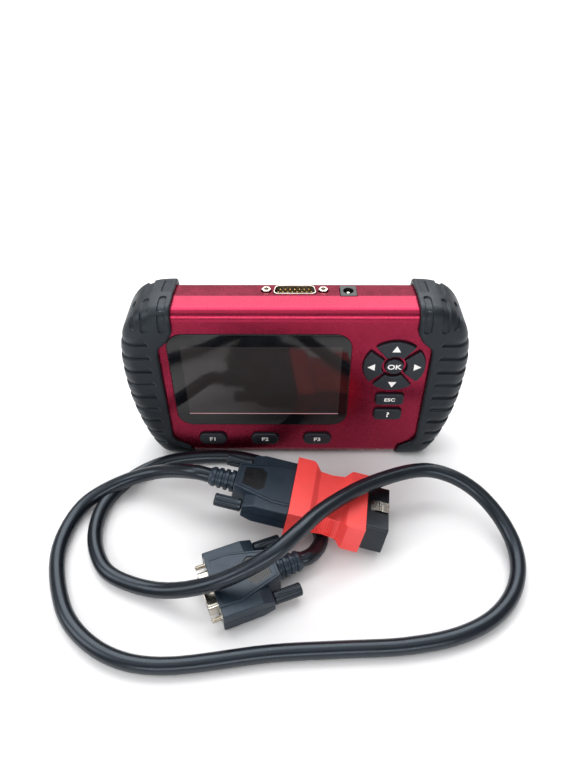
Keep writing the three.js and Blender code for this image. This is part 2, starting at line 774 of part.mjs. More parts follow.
// A leaf spring in the shroud's top, bowed upwards, that the car's socket presses flat.
const obdClip = () => {
  const strip = 0.4;
  const low = clipFloor + gap;
  const top = [
    [shroudStart + 2.2, low], [shroudStart + 7.5, low + 1.7],
    [shroudStart + 9, low + 1.2], [shroudEnd - 0.2, low + 1.5],
  ];
  return alongY(outline([...top, ...top.map(([x, z]) => [x, z + strip]).reverse()]), -3.7, 3.7);
};

// ---- cable ----
const cableRoute = [
  [-73.5, -52.8, 24.4], [-86.8, -49.6, 18.6], [-113.2, -52.8, 9.8], [-131.5, -65.5, 5.3],
  [-137.9, -96, 4.7], [-126, -131.5, 4.6], [-112, -148, 4.6], [-92, -159.6, 4.6],
  [-68, -163.6, 4.6], [-11, -156.8, 4.6], [24, -154.7, 4.6], [58, -152.7, 4.6], [86.1, -147, 4.6],
  [106, -137.4, 4.6], [120, -123.5, 4.7], [127.2, -107.5, 5.6], [127.6, -92, 8],
  [121.8, -76.8, 12.6], [110.5, -63.5, 18.4], [95.5, -55.8, 23.6], [78.5, -54, 26.8],
  [46, -66.8, 30.3], [15, -91.8, 36.4], [0.8, -107.6, 37.6], [-12.4, -118.6, 34.4],
  [-40.4, -127.3, 22.6], [-75, -123.8, 7.8], [-104.5, -112.2, 4.8], [-114.5, -99.6, 4.6],
  [-119.7, -83, 4.6], [-118.4, -64, 4.6], [-109.5, -47.4, 4.6], [-96, -34.8, 4.6],
  [-79, -27.1, 4.6], [-40, -24.6, 4.6], [-20, -30.6, 4.6], [-5, -41, 4.5], [3.5, -55, 4.5],
  [9.5, -71, 4.5], [16, -88, 4.8], [12.2, -97.8, 5.8],
];

const cable = (start, startWay, end, endWay) => {
  const lead = 8;
  const points = [
    start, start.clone().addScaledVector(startWay, lead),
    ...cableRoute.map((p) => new THREE.Vector3(...p)),
    end.clone().addScaledVector(endWay, lead / 2), end,
  ];
  const path = new THREE.CatmullRomCurve3(points, false, 'centripetal');
  const section = new THREE.Shape();
  for (let i = 0; i < cableSides; i += 1) {
    const angle = (i / cableSides) * Math.PI * 2;
    const x = Math.cos(angle) * cableDiameter / 2;
    const y = Math.sin(angle) * cableDiameter / 2;
    if (i === 0) section.moveTo(x, y);
    else section.lineTo(x, y);
  }
  section.closePath();
  return solidOf(new THREE.ExtrudeGeometry(section, {
    steps: cableSteps, extrudePath: path, curveSegments: 1,
  }));
};

// ---- assembly ----
addPiece('body_shell', caseShell(), anodised);
[['left', -1], ['right', 1]].forEach(([name, side]) => {
  addPiece(`end_cap_${name}`, endCap(side), blackPlastic);
  addPiece(`boot_${name}`, boot(side), rubber);
  bossPlaces.forEach((place, i) => {
    addPiece(`cap_screw_${name}_${i === 0 ? 'lower' : 'upper'}`, capScrew(side, place), nickel);
  });
});
addPiece('display_glass', displayGlass(), glossBlack);
addPiece('display_panel', displayPanel(), glossBlack);
addPiece('display_ribbon', displayRibbon(), ribbonFoil);
addPiece('keypad_mat', keypadMat(), keyRubber);
addPiece('keypad_board', keypadBoard(), boardGreen);
keys.forEach((key) => addPiece(key.name, keyPiece(key), keyRubber));
addPiece('main_board', mainBoard(), boardGreen);
addPiece('processor', chip(-18, 40.1, 20, 20, 1.6), blackPlastic);
addPiece('memory_chip', chip(14, 40.1, 11, 18, 1.2), blackPlastic);
addPiece('bus_transceiver', chip(12, 16.1, 9, 7, 1.8), blackPlastic);
addPiece('power_inductor', chip(40, 18.1, 10, 10, 4.5), blackPlastic);
addPiece('buzzer', buzzer(), blackPlastic);
addPiece('port_board', portBoard(), boardGreen);
addPiece('board_header', boardHeader(), blackPlastic);
addPiece('port_shell', inPort(dShell()), nickel);
addPiece('port_insulator', inPort(dInsert(0.9, 8.6)), blackPlastic);
addPiece('port_pins', inPort(dPins(1.2, shellReach - 0.8)), nickel);
addPiece('port_jackscrew_left', inPort(portJackscrew(-1)), nickel);
addPiece('port_jackscrew_right', inPort(portJackscrew(1)), nickel);
addPiece('dc_jack', dcJack(), blackPlastic);
addPiece('dc_jack_pin', dcJackPin(), nickel);

// The adapter rides up on the cable that runs under it: it leans down to its OBD end and
// to its far side. Its frame's origin is the middle of the adapter's plug end.
const { degToRad } = THREE.MathUtils;
const lean = new THREE.Euler(degToRad(-5), degToRad(10), degToRad(-9.2), 'ZYX');
const adapterPlace = new THREE.Matrix4().makeRotationFromEuler(lean).setPosition(-2.1, -69.9, 22.2);
const carPlugPlace = adapterPlace.clone()
  .multiply(new THREE.Matrix4().makeTranslation(hoodSeat, 0, 0))
  .multiply(new THREE.Matrix4().makeRotationZ(Math.PI));
const handsetPlugPlace = new THREE.Matrix4().makeRotationZ(degToRad(22.1))
  .setPosition(-44.7, -124, hoodThickness / 2 + hoodPanel);

addPlug('car_plug', false, carPlugPlace);
addPlug('handset_plug', true, handsetPlugPlace);

const adapter = new THREE.Group();
adapter.applyMatrix4(adapterPlace);
addPiece('adapter_body', adapterBody(), redPlastic, adapter);
addPiece('adapter_port', adapterPort(), blackPlastic, adapter);
addPiece('adapter_nut_near', adapterNut(-1), nickel, adapter);
addPiece('adapter_nut_far', adapterNut(1), nickel, adapter);
addPiece('obd_shroud', obdShroud(), blackPlastic, adapter);
addPiece('obd_pins', obdPins(), nickel, adapter);
addPiece('obd_clip', obdClip(), nickel, adapter);
reader.add(adapter);

const leadStart = hoodTongue + reliefLength + 2 * gap;
const leadEnd = (place) => new THREE.Vector3(leadStart, 0, 0).applyMatrix4(place);
const leadWay = (place) => new THREE.Vector3(1, 0, 0).transformDirection(place);
addPiece('cable', cable(
  leadEnd(carPlugPlace), leadWay(carPlugPlace),
  leadEnd(handsetPlugPlace), leadWay(handsetPlugPlace)), rubber);

export default reader;
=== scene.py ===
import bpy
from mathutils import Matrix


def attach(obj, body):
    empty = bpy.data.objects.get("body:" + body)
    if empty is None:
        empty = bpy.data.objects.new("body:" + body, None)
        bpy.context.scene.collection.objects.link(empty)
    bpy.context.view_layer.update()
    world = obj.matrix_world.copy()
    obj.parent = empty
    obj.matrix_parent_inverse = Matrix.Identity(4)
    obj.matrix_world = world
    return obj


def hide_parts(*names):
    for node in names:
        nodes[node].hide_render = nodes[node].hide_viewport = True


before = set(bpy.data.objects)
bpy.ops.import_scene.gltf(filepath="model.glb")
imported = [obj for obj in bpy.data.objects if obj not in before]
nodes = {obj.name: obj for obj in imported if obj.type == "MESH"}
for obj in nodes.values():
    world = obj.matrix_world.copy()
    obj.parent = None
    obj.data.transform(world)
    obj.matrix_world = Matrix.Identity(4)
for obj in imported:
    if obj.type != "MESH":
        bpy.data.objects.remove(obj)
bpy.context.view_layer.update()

import math

import bpy
from mathutils import Matrix, Vector

# Pieces are modelled in millimetres, then put down in the frame, which is in metres.
mm = 0.001
gap = 0.3


# Camera
cameraFacts = {
    "place": (-1.05, -297.36, 316.05),
    "pitch": 41.962,
    "yaw": -0.6,
    "roll": 0.283,
    "lens": 28.69,
    "sensor": 36,
}


def addCamera(facts):
    pitch, yaw, roll = (math.radians(facts[k]) for k in ("pitch", "yaw", "roll"))
    forward = Vector((
        math.sin(yaw) * math.cos(pitch), math.cos(yaw) * math.cos(pitch), -math.sin(pitch)))
    level = Vector((math.cos(yaw), -math.sin(yaw), 0))
    down = forward.cross(level)
    right = math.cos(roll) * level + math.sin(roll) * down
    up = math.sin(roll) * level - math.cos(roll) * down
    turn = Matrix((right, up, -forward)).transposed().to_4x4()
    bpy.ops.object.camera_add()
    camera = bpy.context.object
    camera.name = "camera"
    camera.data.lens = facts["lens"]
    camera.data.sensor_width = facts["sensor"]
    camera.data.clip_start = 0.01
    camera.matrix_world = Matrix.Translation(Vector(facts["place"]) * mm) @ turn
    bpy.context.scene.camera = camera


addCamera(cameraFacts)

# Where the two plugs and the adapter lie
placeFacts = {
    "adapter": (-2.1, -69.9, 22.2),
    "adapterTurn": (-5, 10, -9.2),
    "hoodSeat": 2.7,
    "handsetPlug": (-44.7, -124, 7.5),
    "handsetPlugTurn": 22.1,
}


def turned(x, y, z):
    return (Matrix.Rotation(math.radians(z), 4, "Z") @ Matrix.Rotation(math.radians(y), 4, "Y")
            @ Matrix.Rotation(math.radians(x), 4, "X"))


adapterPlace = Matrix.Translation(placeFacts["adapter"]) @ turned(*placeFacts["adapterTurn"])
carPlugPlace = adapterPlace @ Matrix.Translation((placeFacts["hoodSeat"], 0, 0)) @ turned(0, 0, 180)
handsetPlugPlace = (Matrix.Translation(placeFacts["handsetPlug"])
                    @ turned(0, 0, placeFacts["handsetPlugTurn"]))

# Cable
plugFacts = {
    "width": 41.6, "thickness": 13.6, "panel": 0.7, "shoulder": 22.5, "rear": 29.2, "tongue": 36.8,
    "reliefLength": 15.2, "reliefRoot": 6.5, "reliefTip": 5.9, "rings": 4,
    "screwSpacing": 33.3, "knobRadius": 3.7, "knobLength": 16, "screwRadius": 1.5,
    "lineWide": 0.35, "lineDepth": 0.35, "padDepth": 0.75, "flutes": 8,
    "padCorners": [(19.2, -6.4), (22.8, -9), (32.4, -6.6)], "raisedHalf": 15.2, "raisedTip": 8.8,
}
cableFacts = {"diameter": 8.8, "lead": 8, "steps": 6}
cableRoute = [
    (-86.8, -49.6, 18.6), (-113.2, -52.8, 9.8), (-131.5, -65.5, 5.3), (-137.9, -96, 4.7),
    (-126, -131.5, 4.6), (-112, -148, 4.6), (-92, -159.6, 4.6), (-68, -163.6, 4.6),
    (-11, -156.8, 4.6), (24, -154.7, 4.6), (58, -152.7, 4.6), (86.1, -147, 4.6), (106, -137.4, 4.6),
    (120, -123.5, 4.7), (127.2, -107.5, 5.6), (127.6, -92, 8), (121.8, -76.8, 12.6),
    (110.5, -63.5, 18.4), (95.5, -55.8, 23.6), (78.5, -54, 26.8), (46, -66.8, 30.3),
    (15, -91.8, 36.4), (0.8, -107.6, 37.6), (-12.4, -118.6, 34.4), (-40.4, -127.3, 22.6),
    (-75, -123.8, 7.8), (-104.5, -112.2, 4.8), (-114.5, -99.6, 4.6), (-119.7, -83, 4.6),
    (-118.4, -64, 4.6), (-109.5, -47.4, 4.6), (-96, -34.8, 4.6), (-79, -27.1, 4.6),
    (-40, -24.6, 4.6), (-20, -30.6, 4.6), (-5, -41, 4.5), (3.5, -55, 4.5), (9.5, -71, 4.5),
    (16, -88, 4.8), (12.2, -97.8, 5.8),
]


# A smooth line through the points, evenly tight at near and far points.
def smoothLine(points, steps):
    first = points[0] * 2 - points[1]
    last = points[-1] * 2 - points[-2]
    chain = [first, *points, last]
    line = []
    for i in range(len(points) - 1):
        p0, p1, p2, p3 = chain[i:i + 4]
        d0, d1, d2 = (max((b - a).length ** 0.5, 1e-4) for a, b in ((p0, p1), (p1, p2), (p2, p3)))
        m1 = ((p1 - p0) / d0 - (p2 - p0) / (d0 + d1) + (p2 - p1) / d1) * d1
        m2 = ((p2 - p1) / d1 - (p3 - p1) / (d1 + d2) + (p3 - p2) / d2) * d1
        for k in range(steps):
            t = k / steps
            line.append(p1 + m1 * t + (-3 * p1 + 3 * p2 - 2 * m1 - m2) * t ** 2
                        + (2 * p1 - 2 * p2 + m1 + m2) * t ** 3)
    return line + [points[-1]]


def leadPoint(place, beyond):
    reach = plugFacts["tongue"] + plugFacts["reliefLength"] + 2 * gap + beyond
    return place @ Vector((reach, 0, 0))


def addCable():
    lead = cableFacts["lead"]
    points = [leadPoint(carPlugPlace, 0), leadPoint(carPlugPlace, lead), *map(Vector, cableRoute),
              leadPoint(handsetPlugPlace, lead / 2), leadPoint(handsetPlugPlace, 0)]
    line = smoothLine(points, cableFacts["steps"])
    curve = bpy.data.curves.new("cableJacket", "CURVE")
    curve.dimensions = "3D"
    curve.bevel_depth = cableFacts["diameter"] / 2 * mm
    curve.bevel_resolution = 7
    curve.use_fill_caps = True
    spline = curve.splines.new("POLY")
    spline.points.add(len(line) - 1)
    for point, at in zip(spline.points, line):
        point.co = (*(at * mm), 1)
    spline.use_smooth = True
    piece = bpy.data.objects.new("cableJacket", curve)
    bpy.context.collection.objects.link(piece)
    length = sum((b - a).length for a, b in zip(line, line[1:])) * mm
    return piece, length


cableJacket, cableLength = addCable()
print("cable laid, length", round(cableLength, 3), "m")


# Modelling tools
axisWays = {"X": Vector((1, 0, 0)), "Y": Vector((0, 1, 0)), "Z": Vector((0, 0, 1))}


def makeActive(piece):
    bpy.ops.object.select_all(action="DESELECT")
    piece.select_set(True)
    bpy.context.view_layer.objects.active = piece


def startEdit(piece):
    makeActive(piece)
    bpy.ops.object.mode_set(mode="EDIT")
    bpy.ops.mesh.select_mode(type="FACE")
    bpy.ops.mesh.select_all(action="DESELECT")
    bpy.ops.object.mode_set(mode="OBJECT")


# Selects what a test picks, and leaves the piece in edit mode.
def pickFaces(piece, test):
    startEdit(piece)
    for face in piece.data.polygons:
        face.select = bool(test(face.center, face.normal))
    bpy.ops.object.mode_set(mode="EDIT")


def endEdit():
    bpy.ops.object.mode_set(mode="OBJECT")


# The points of a closed outline whose corners (a, b, radius) are rounded.
def rounded(corners, radius=0.0, steps=6):
    points = []
    count = len(corners)
    for i, corner in enumerate(corners):
        at = Vector(corner[:2])
        size = corner[2] if len(corner) > 2 else radius
        if size <= 0:
            points.append(tuple(at))
            continue
        before = (Vector(corners[i - 1][:2]) - at).normalized()
        after = (Vector(corners[(i + 1) % count][:2]) - at).normalized()
        half = math.acos(max(-1, min(1, before.dot(after)))) / 2
        reach = size / math.tan(half)
        middle = at + (before + after).normalized() * (size / math.sin(half))
        start, end = at + before * reach - middle, at + after * reach - middle
        sweep = start.angle_signed(end)
        for k in range(steps + 1):
            turn = -sweep * k / steps
            points.append((middle.x + start.x * math.cos(turn) - start.y * math.sin(turn),
                           middle.y + start.x * math.sin(turn) + start.y * math.cos(turn)))
    return points


def rectangle(width, height, radius, a=0.0, b=0.0, steps=6):
    w, h = width / 2, height / 2
    return rounded([(a - w, b - h), (a + w, b - h), (a + w, b + h), (a - w, b + h)], radius, steps)


def ring(radius, a=0.0, b=0.0, count=32):
    return [(a + radius * math.cos(2 * math.pi * i / count), b + radius * math.sin(2 * math.pi * i / count))
            for i in range(count)]


def onAxis(axis, at, a, b):
    return {"X": (at, a, b), "Y": (a, at, b), "Z": (a, b, at)}[axis]


# A flat face of that outline, pulled along an axis into a solid.
def addSlab(name, outline, axis, low, high):
    bpy.ops.object.select_all(action="DESELECT")
    bpy.ops.mesh.primitive_circle_add(vertices=len(outline), fill_type="NGON")
    piece = bpy.context.object
    piece.name = piece.data.name = name
    for vertex, (a, b) in zip(piece.data.vertices, outline):
        vertex.co = onAxis(axis, low, a, b)
    bpy.ops.object.mode_set(mode="EDIT")
    bpy.ops.mesh.select_all(action="SELECT")
    bpy.ops.mesh.extrude_region_move(TRANSFORM_OT_translate={"value": axisWays[axis] * (high - low)})
    faceOut()
    return piece


def faceOut():
    bpy.ops.mesh.select_all(action="SELECT")
    bpy.ops.mesh.normals_make_consistent(inside=False)
    bpy.ops.object.mode_set(mode="OBJECT")


def addBlock(name, x0, x1, y0, y1, z0, z1):
    return addSlab(name, [(x0, y0), (x1, y0), (x1, y1), (x0, y1)], "Z", z0, z1)


# A profile of (along, radius) points spun round the X axis.
def addTurning(name, profile, steps=48):
    bpy.ops.object.select_all(action="DESELECT")
    bpy.ops.mesh.primitive_circle_add(vertices=len(profile), fill_type="NOTHING")
    piece = bpy.context.object
    piece.name = piece.data.name = name
    for vertex, (along, radius) in zip(piece.data.vertices, profile):
        vertex.co = (along, 0, radius)
    bpy.ops.object.mode_set(mode="EDIT")
    bpy.ops.mesh.select_all(action="SELECT")
    bpy.ops.mesh.spin(steps=steps, angle=2 * math.pi, center=(0, 0, 0), axis=(1, 0, 0))
    bpy.ops.mesh.select_all(action="SELECT")
    bpy.ops.mesh.remove_doubles(threshold=0.002)
    bpy.ops.mesh.delete_loose(use_verts=True, use_edges=True, use_faces=False)
    faceOut()
    return piece


def useModifier(piece, kind, **settings):
    makeActive(piece)
    modifier = piece.modifiers.new(kind.title(), kind)
    for name, value in settings.items():
        setattr(modifier, name, value)
    bpy.ops.object.modifier_apply(modifier=modifier.name)


def soften(piece, width, segments=3, angle=35):
    useModifier(piece, "BEVEL", width=width, segments=segments, limit_method="ANGLE",
                angle_limit=math.radians(angle), use_clamp_overlap=True, miter_outer="MITER_ARC")


def combine(piece, kind, others):
    for other in others:
        useModifier(piece, "BOOLEAN", operation=kind, solver="EXACT", object=other)
        bpy.data.objects.remove(other)
    return piece


def cutAway(piece, *others):
    return combine(piece, "DIFFERENCE", others)


def weld(piece, *others):
    return combine(piece, "UNION", others)


def keepInside(piece, *others):
    return combine(piece, "INTERSECT", others)


def joinTo(piece, other):
    makeActive(piece)
    other.select_set(True)
    bpy.ops.object.join()


# Pulls the picked faces out a little and narrows them.
def taper(piece, test, move, size, centre):
    pickFaces(piece, test)
    bpy.ops.mesh.extrude_region_move(TRANSFORM_OT_translate={"value": move})
    bpy.ops.transform.resize(value=size, center_override=centre)
    endEdit()


def copyOf(piece, name, matrix=Matrix()):
    twin = piece.copy()
    twin.data = piece.data.copy()
    twin.name = twin.data.name = name
    bpy.context.collection.objects.link(twin)
    twin.data.transform(matrix)
    if matrix.determinant() < 0:
        startEdit(twin)
        bpy.ops.object.mode_set(mode="EDIT")
        faceOut()
    return twin


# Shades a finished piece, puts it down in the frame and lets it ride on its body.
def setDown(piece, finish, node=None, place=Matrix(), body="handset_and_lead", smooth=35, even=True):
    makeActive(piece)
    bpy.ops.object.shade_smooth_by_angle(angle=math.radians(smooth))
    if even:
        useModifier(piece, "WEIGHTED_NORMAL", keep_sharp=True)
    piece.matrix_world = Matrix.Scale(mm, 4) @ place @ piece.matrix_world
    makeActive(piece)
    bpy.ops.object.transform_apply(location=True, rotation=True, scale=True)
    if not piece.data.materials:
        piece.data.materials.append(finishes[finish])
    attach(piece, body)
    if node:
        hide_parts(node)
    return piece


# Materials
def newMaterial(name, colour, roughness, metallic=0.0, specular=0.5, sheen=(1, 1, 1)):
    material = bpy.data.materials.new(name)
    material.use_nodes = True
    shader = material.node_tree.nodes["Principled BSDF"]
    shader.inputs["Base Color"].default_value = (*colour, 1)
    shader.inputs["Roughness"].default_value = roughness
    shader.inputs["Metallic"].default_value = metallic
    shader.inputs["Specular IOR Level"].default_value = specular
    shader.inputs["Specular Tint"].default_value = (*sheen, 1)
    return material


def addNode(material, kind, **values):
    node = material.node_tree.nodes.new(kind)
    for name, value in values.items():
        if name in node.inputs:
            node.inputs[name].default_value = value
        else:
            setattr(node, name, value)
    return node


def link(material, source, target):
    material.node_tree.links.new(source, target)


def objectPlace(material):
    return addNode(material, "ShaderNodeTexCoord").outputs["Object"]


def noise(material, place, scale, detail=3.0, roughness=0.5):
    node = addNode(material, "ShaderNodeTexNoise", Scale=scale, Detail=detail, Roughness=roughness)
    link(material, place, node.inputs["Vector"])
    return node.outputs["Fac"]


def between(material, value, low, high, toLow, toHigh):
    node = addNode(material, "ShaderNodeMapRange")
    for name, number in (("From Min", low), ("From Max", high), ("To Min", toLow), ("To Max", toHigh)):
        node.inputs[name].default_value = number
    link(material, value, node.inputs["Value"])
    return node.outputs["Result"]


def blendColours(material, factor, first, second):
    node = addNode(material, "ShaderNodeMix", data_type="RGBA")
    sockets = [socket for socket in node.inputs if socket.type == "RGBA"]
    for socket, colour in zip(sockets, (first, second)):
        if isinstance(colour, tuple):
            socket.default_value = (*colour, 1)
        else:
            link(material, colour, socket)
    link(material, factor, node.inputs[0])
    return node.outputs[2]


def bump(material, height, strength, distance):
    node = addNode(material, "ShaderNodeBump", Strength=strength, Distance=distance)
    link(material, height, node.inputs["Height"])
    return node.outputs["Normal"]


# A moulded or coated finish: soft patches of colour, uneven gloss and a fine grain.
def makeFinish(name, colour, roughness, grain, patch=0.25, metallic=0.0, specular=0.5,
               sheen=(1, 1, 1), dust=None):
    material = newMaterial(name, colour, roughness, metallic, specular, sheen)
    shader = material.node_tree.nodes["Principled BSDF"]
    place = objectPlace(material)
    patches = noise(material, place, 60, 4)
    darker = tuple(c * (1 - patch) for c in colour)
    lighter = tuple(c * (1 + patch) for c in colour)
    tint = blendColours(material, between(material, patches, 0.3, 0.7, 0, 1), darker, lighter)
    if dust:
        specks = noise(material, place, dust["scale"], 6, 0.7)
        where = between(material, specks, dust["low"], dust["high"], 0, dust["most"])
        tint = blendColours(material, where, tint, dust["colour"])
    link(material, tint, shader.inputs["Base Color"])
    gloss = between(material, noise(material, place, 140, 3), 0.3, 0.7, roughness * 0.88, roughness * 1.12)
    link(material, gloss, shader.inputs["Roughness"])
    fine = noise(material, place, grain["scale"], 2)
    link(material, bump(material, fine, grain["strength"], grain["depth"] * mm), shader.inputs["Normal"])
    return material


blueSheen = (0.76, 0.88, 1.0)
finishFacts = {
    "anodised": dict(colour=(0.29, 0.0155, 0.047), roughness=0.27, metallic=0.88, patch=0.06,
                     grain=dict(scale=3200, strength=0.2, depth=0.006)),
    "bootRubber": dict(colour=(0.0055, 0.0072, 0.0095), roughness=0.46, patch=0.2, specular=0.42,
                       sheen=blueSheen,
                       grain=dict(scale=2400, strength=0.3, depth=0.03),
                       dust=dict(scale=900, colour=(0.13, 0.14, 0.15), most=0.25, low=0.66, high=0.8)),
    "keyRubber": dict(colour=(0.008, 0.009, 0.012), roughness=0.4, patch=0.2, sheen=blueSheen,
                      grain=dict(scale=2600, strength=0.2, depth=0.02)),
    "plugPlastic": dict(colour=(0.012, 0.02, 0.032), roughness=0.38, patch=0.18, sheen=blueSheen,
                        grain=dict(scale=2200, strength=0.45, depth=0.04),
                        dust=dict(scale=1300, colour=(0.3, 0.31, 0.33), most=0.3, low=0.72, high=0.86)),
    "gripPlastic": dict(colour=(0.006, 0.007, 0.009), roughness=0.3, patch=0.2,
                        grain=dict(scale=2200, strength=0.4, depth=0.04),
                        dust=dict(scale=1900, colour=(0.55, 0.56, 0.58), most=0.55, low=0.7, high=0.82)),
    "screwPlastic": dict(colour=(0.009, 0.013, 0.018), roughness=0.32, patch=0.15, sheen=blueSheen,
                         grain=dict(scale=2600, strength=0.25, depth=0.02)),
    "redPlastic": dict(colour=(0.86, 0.065, 0.06), roughness=0.38, patch=0.05, specular=0.5,
                       grain=dict(scale=1500, strength=0.2, depth=0.03)),
    "shroudPlastic": dict(colour=(0.006, 0.0065, 0.008), roughness=0.3, patch=0.15, sheen=blueSheen,
                          grain=dict(scale=2000, strength=0.25, depth=0.02)),
    "blackPlastic": dict(colour=(0.01, 0.01, 0.012), roughness=0.4, patch=0.15,
                         grain=dict(scale=2200, strength=0.2, depth=0.02)),
    "cableJacket": dict(colour=(0.0045, 0.0062, 0.0095), roughness=0.3, patch=0.2, sheen=blueSheen,
                        grain=dict(scale=1400, strength=0.3, depth=0.03),
                        dust=dict(scale=800, colour=(0.1, 0.1, 0.11), most=0.25, low=0.68, high=0.8)),
    "nickel": dict(colour=(0.66, 0.62, 0.55), roughness=0.26, metallic=1.0, patch=0.18,
                   grain=dict(scale=1800, strength=0.25, depth=0.02)),
    "gold": dict(colour=(0.75, 0.5, 0.16), roughness=0.3, metallic=1.0, patch=0.12,
                 grain=dict(scale=1800, strength=0.2, depth=0.02)),
    "board": dict(colour=(0.01, 0.09, 0.035), roughness=0.45, patch=0.3,
                  grain=dict(scale=900, strength=0.3, depth=0.03)),
    "foil": dict(colour=(0.42, 0.2, 0.04), roughness=0.35, patch=0.2,
                 grain=dict(scale=900, strength=0.2, depth=0.02)),
    "legend": dict(colour=(0.88, 0.88, 0.86), roughness=0.5, patch=0.05,
                   grain=dict(scale=3000, strength=0.2, depth=0.01)),
}
finishes = {name: makeFinish(name, **facts) for name, facts in finishFacts.items()}


# Black gloss window: a dark border, a slightly paler display and a thin bright line below it, a painted
# highlight.
displayFacts = {
    "middle": (-19.55, 67.0), "width": 95, "height": 53.9, "highlightHeight": 0.5, "highlightDrop": 0.4,
    # line: the colour of the painted highlight, a thin bright pink line just under the display
    "border": (0.004, 0.004, 0.005), "display": (0.022, 0.019, 0.019), "line": (0.75, 0.42, 0.44),
}


def insideMask(material, value, middle, half, soft):
    away = addNode(material, "ShaderNodeMath", operation="SUBTRACT")
    link(material, value, away.inputs[0])
    away.inputs[1].default_value = middle
    size = addNode(material, "ShaderNodeMath", operation="ABSOLUTE")
    link(material, away.outputs[0], size.inputs[0])
    return between(material, size.outputs[0], half - soft, half + soft, 1, 0)


def both(material, first, second):
    node = addNode(material, "ShaderNodeMath", operation="MULTIPLY")
    link(material, first, node.inputs[0])
    link(material, second, node.inputs[1])
    return node.outputs[0]


def makeWindowFinish(facts):
    material = newMaterial("windowGloss", facts["border"], 0.05, specular=0.5)
    shader = material.node_tree.nodes["Principled BSDF"]
    place = objectPlace(material)
    split = addNode(material, "ShaderNodeSeparateXYZ")
    link(material, place, split.inputs[0])
    x, z = split.outputs["X"], split.outputs["Z"]
    middleX, middleZ = facts["middle"]
    across = insideMask(material, x, middleX * mm, facts["width"] / 2 * mm, 0.0001)
    up = insideMask(material, z, middleZ * mm, facts["height"] / 2 * mm, 0.0001)
    # the painted highlight: a thin bright line just under the display, laid over the border colour
    highlightZ = (middleZ - facts["height"] / 2 - facts["highlightDrop"]) * mm
    line = insideMask(material, z, highlightZ, facts["highlightHeight"] / 2 * mm, 0.00008)
    smudge = between(material, noise(material, place, 26, 5, 0.6), 0.35, 0.75, 0.0, 0.5)
    display = blendColours(material, smudge, facts["display"], tuple(c * 1.5 for c in facts["display"]))
    tint = blendColours(material, both(material, across, up), facts["border"], display)
    tint = blendColours(material, both(material, across, line), tint, facts["line"])
    link(material, tint, shader.inputs["Base Color"])
    gloss = between(material, noise(material, place, 45, 5, 0.7), 0.4, 0.8, 0.05, 0.16)
    link(material, gloss, shader.inputs["Roughness"])
    return material


finishes["window"] = makeWindowFinish(displayFacts)
print("finishes made")

# Casing
casing = {
    "half": 82.5, "front": -18, "bottom": 1.4, "top": 117.9, "edge": 6.5, "ridge": -1, "drop": 2.6,
    "wall": 2.5,
    "windowMiddle": (-20.75, 66.2), "windowSize": (108.3, 73.4), "windowCorner": 10, "windowSeat": 1.5,
    "panel": (104, 66),
}
keyFacts = {
    "proud": 2, "flange": 0.9, "clearance": 0.4, "edge": 0.75,
    "function": dict(width=18, height=9.5, corner=4.2, z=17.2,
                     xs={"key_f1": -53.8, "key_f2": -19.3, "key_f3": 15.2}),
    "side": dict(width=17.5, height=9, corner=2.6, x=59.3, zs={"key_esc": 53.3, "key_help": 40.3}),
    "pad": dict(x=59.3, z=80, outer=18.5, inner=7.6, halfAngle=0.68, ok=5.6),
}


def caseOutline(inset, steps=10):
    half = 18 - inset
    top, bottom = casing["top"] - inset, casing["bottom"] + inset
    edge = max(casing["edge"] - inset, 1)
    drop, ridge = casing["drop"], casing["ridge"]
    return rounded([
        (-half, bottom, edge), (ridge, bottom, 2.5), (half, bottom + drop, edge),
        (half, top - drop, edge), (ridge, top, 2.5), (-half, top, edge)], steps=steps)


def sectorOutline(turn, grow, steps=14):
    pad = keyFacts["pad"]
    low, high = pad["inner"] - grow, pad["outer"] + grow
    lowAngle = pad["halfAngle"] + grow / low / 2
    highAngle = pad["halfAngle"] + grow / high / 2
    points = []
    for radius, half, way in ((high, highAngle, 1), (low, lowAngle, -1)):
        for k in range(steps + 1):
            angle = turn + way * half * (2 * k / steps - 1)
            points.append((pad["x"] + radius * math.cos(angle), pad["z"] + radius * math.sin(angle)))
    return points


def keyOutlines():
    outlines = {}
    shape = keyFacts["function"]
    for name, x in shape["xs"].items():
        outlines[name] = lambda grow, x=x, s=shape: rectangle(
            s["width"] + 2 * grow, s["height"] + 2 * grow, s["corner"] + grow, x, s["z"], 8)
    shape = keyFacts["side"]
    for name, z in shape["zs"].items():
        outlines[name] = lambda grow, z=z, s=shape: rectangle(
            s["width"] + 2 * grow, s["height"] + 2 * grow, s["corner"] + grow, s["x"], z, 8)
    for name, quarter in (("key_right", 0), ("key_up", 1), ("key_left", 2), ("key_down", 3)):
        outlines[name] = lambda grow, q=quarter: sectorOutline(q * math.pi / 2, grow)
    pad = keyFacts["pad"]
    outlines["key_ok"] = lambda grow: ring(pad["ok"] + grow, pad["x"], pad["z"], 40)
    return outlines


keyShapes = keyOutlines()
screwHalf = plugFacts["screwSpacing"] / 2
portFacts = {
    "y": 5.7, "width": 25.4, "height": 8.5, "lean": 1.4, "corner": 2.2, "flangeTop": 112.5, "reach": 5.5,
    "pitch": 2.77, "row": 1.42, "jack": dict(x=31.2, y=4, width=9.5, length=10.5, bore=3.1, pin=1),
}


def dOutline(grow, b=0.0, steps=5):
    half = portFacts["width"] / 2 + grow
    rise = portFacts["height"] / 2 + grow
    lean = portFacts["lean"]
    return rounded([(-half + lean, b - rise), (half - lean, b - rise), (half, b + rise), (-half, b + rise)],
                   portFacts["corner"], steps)


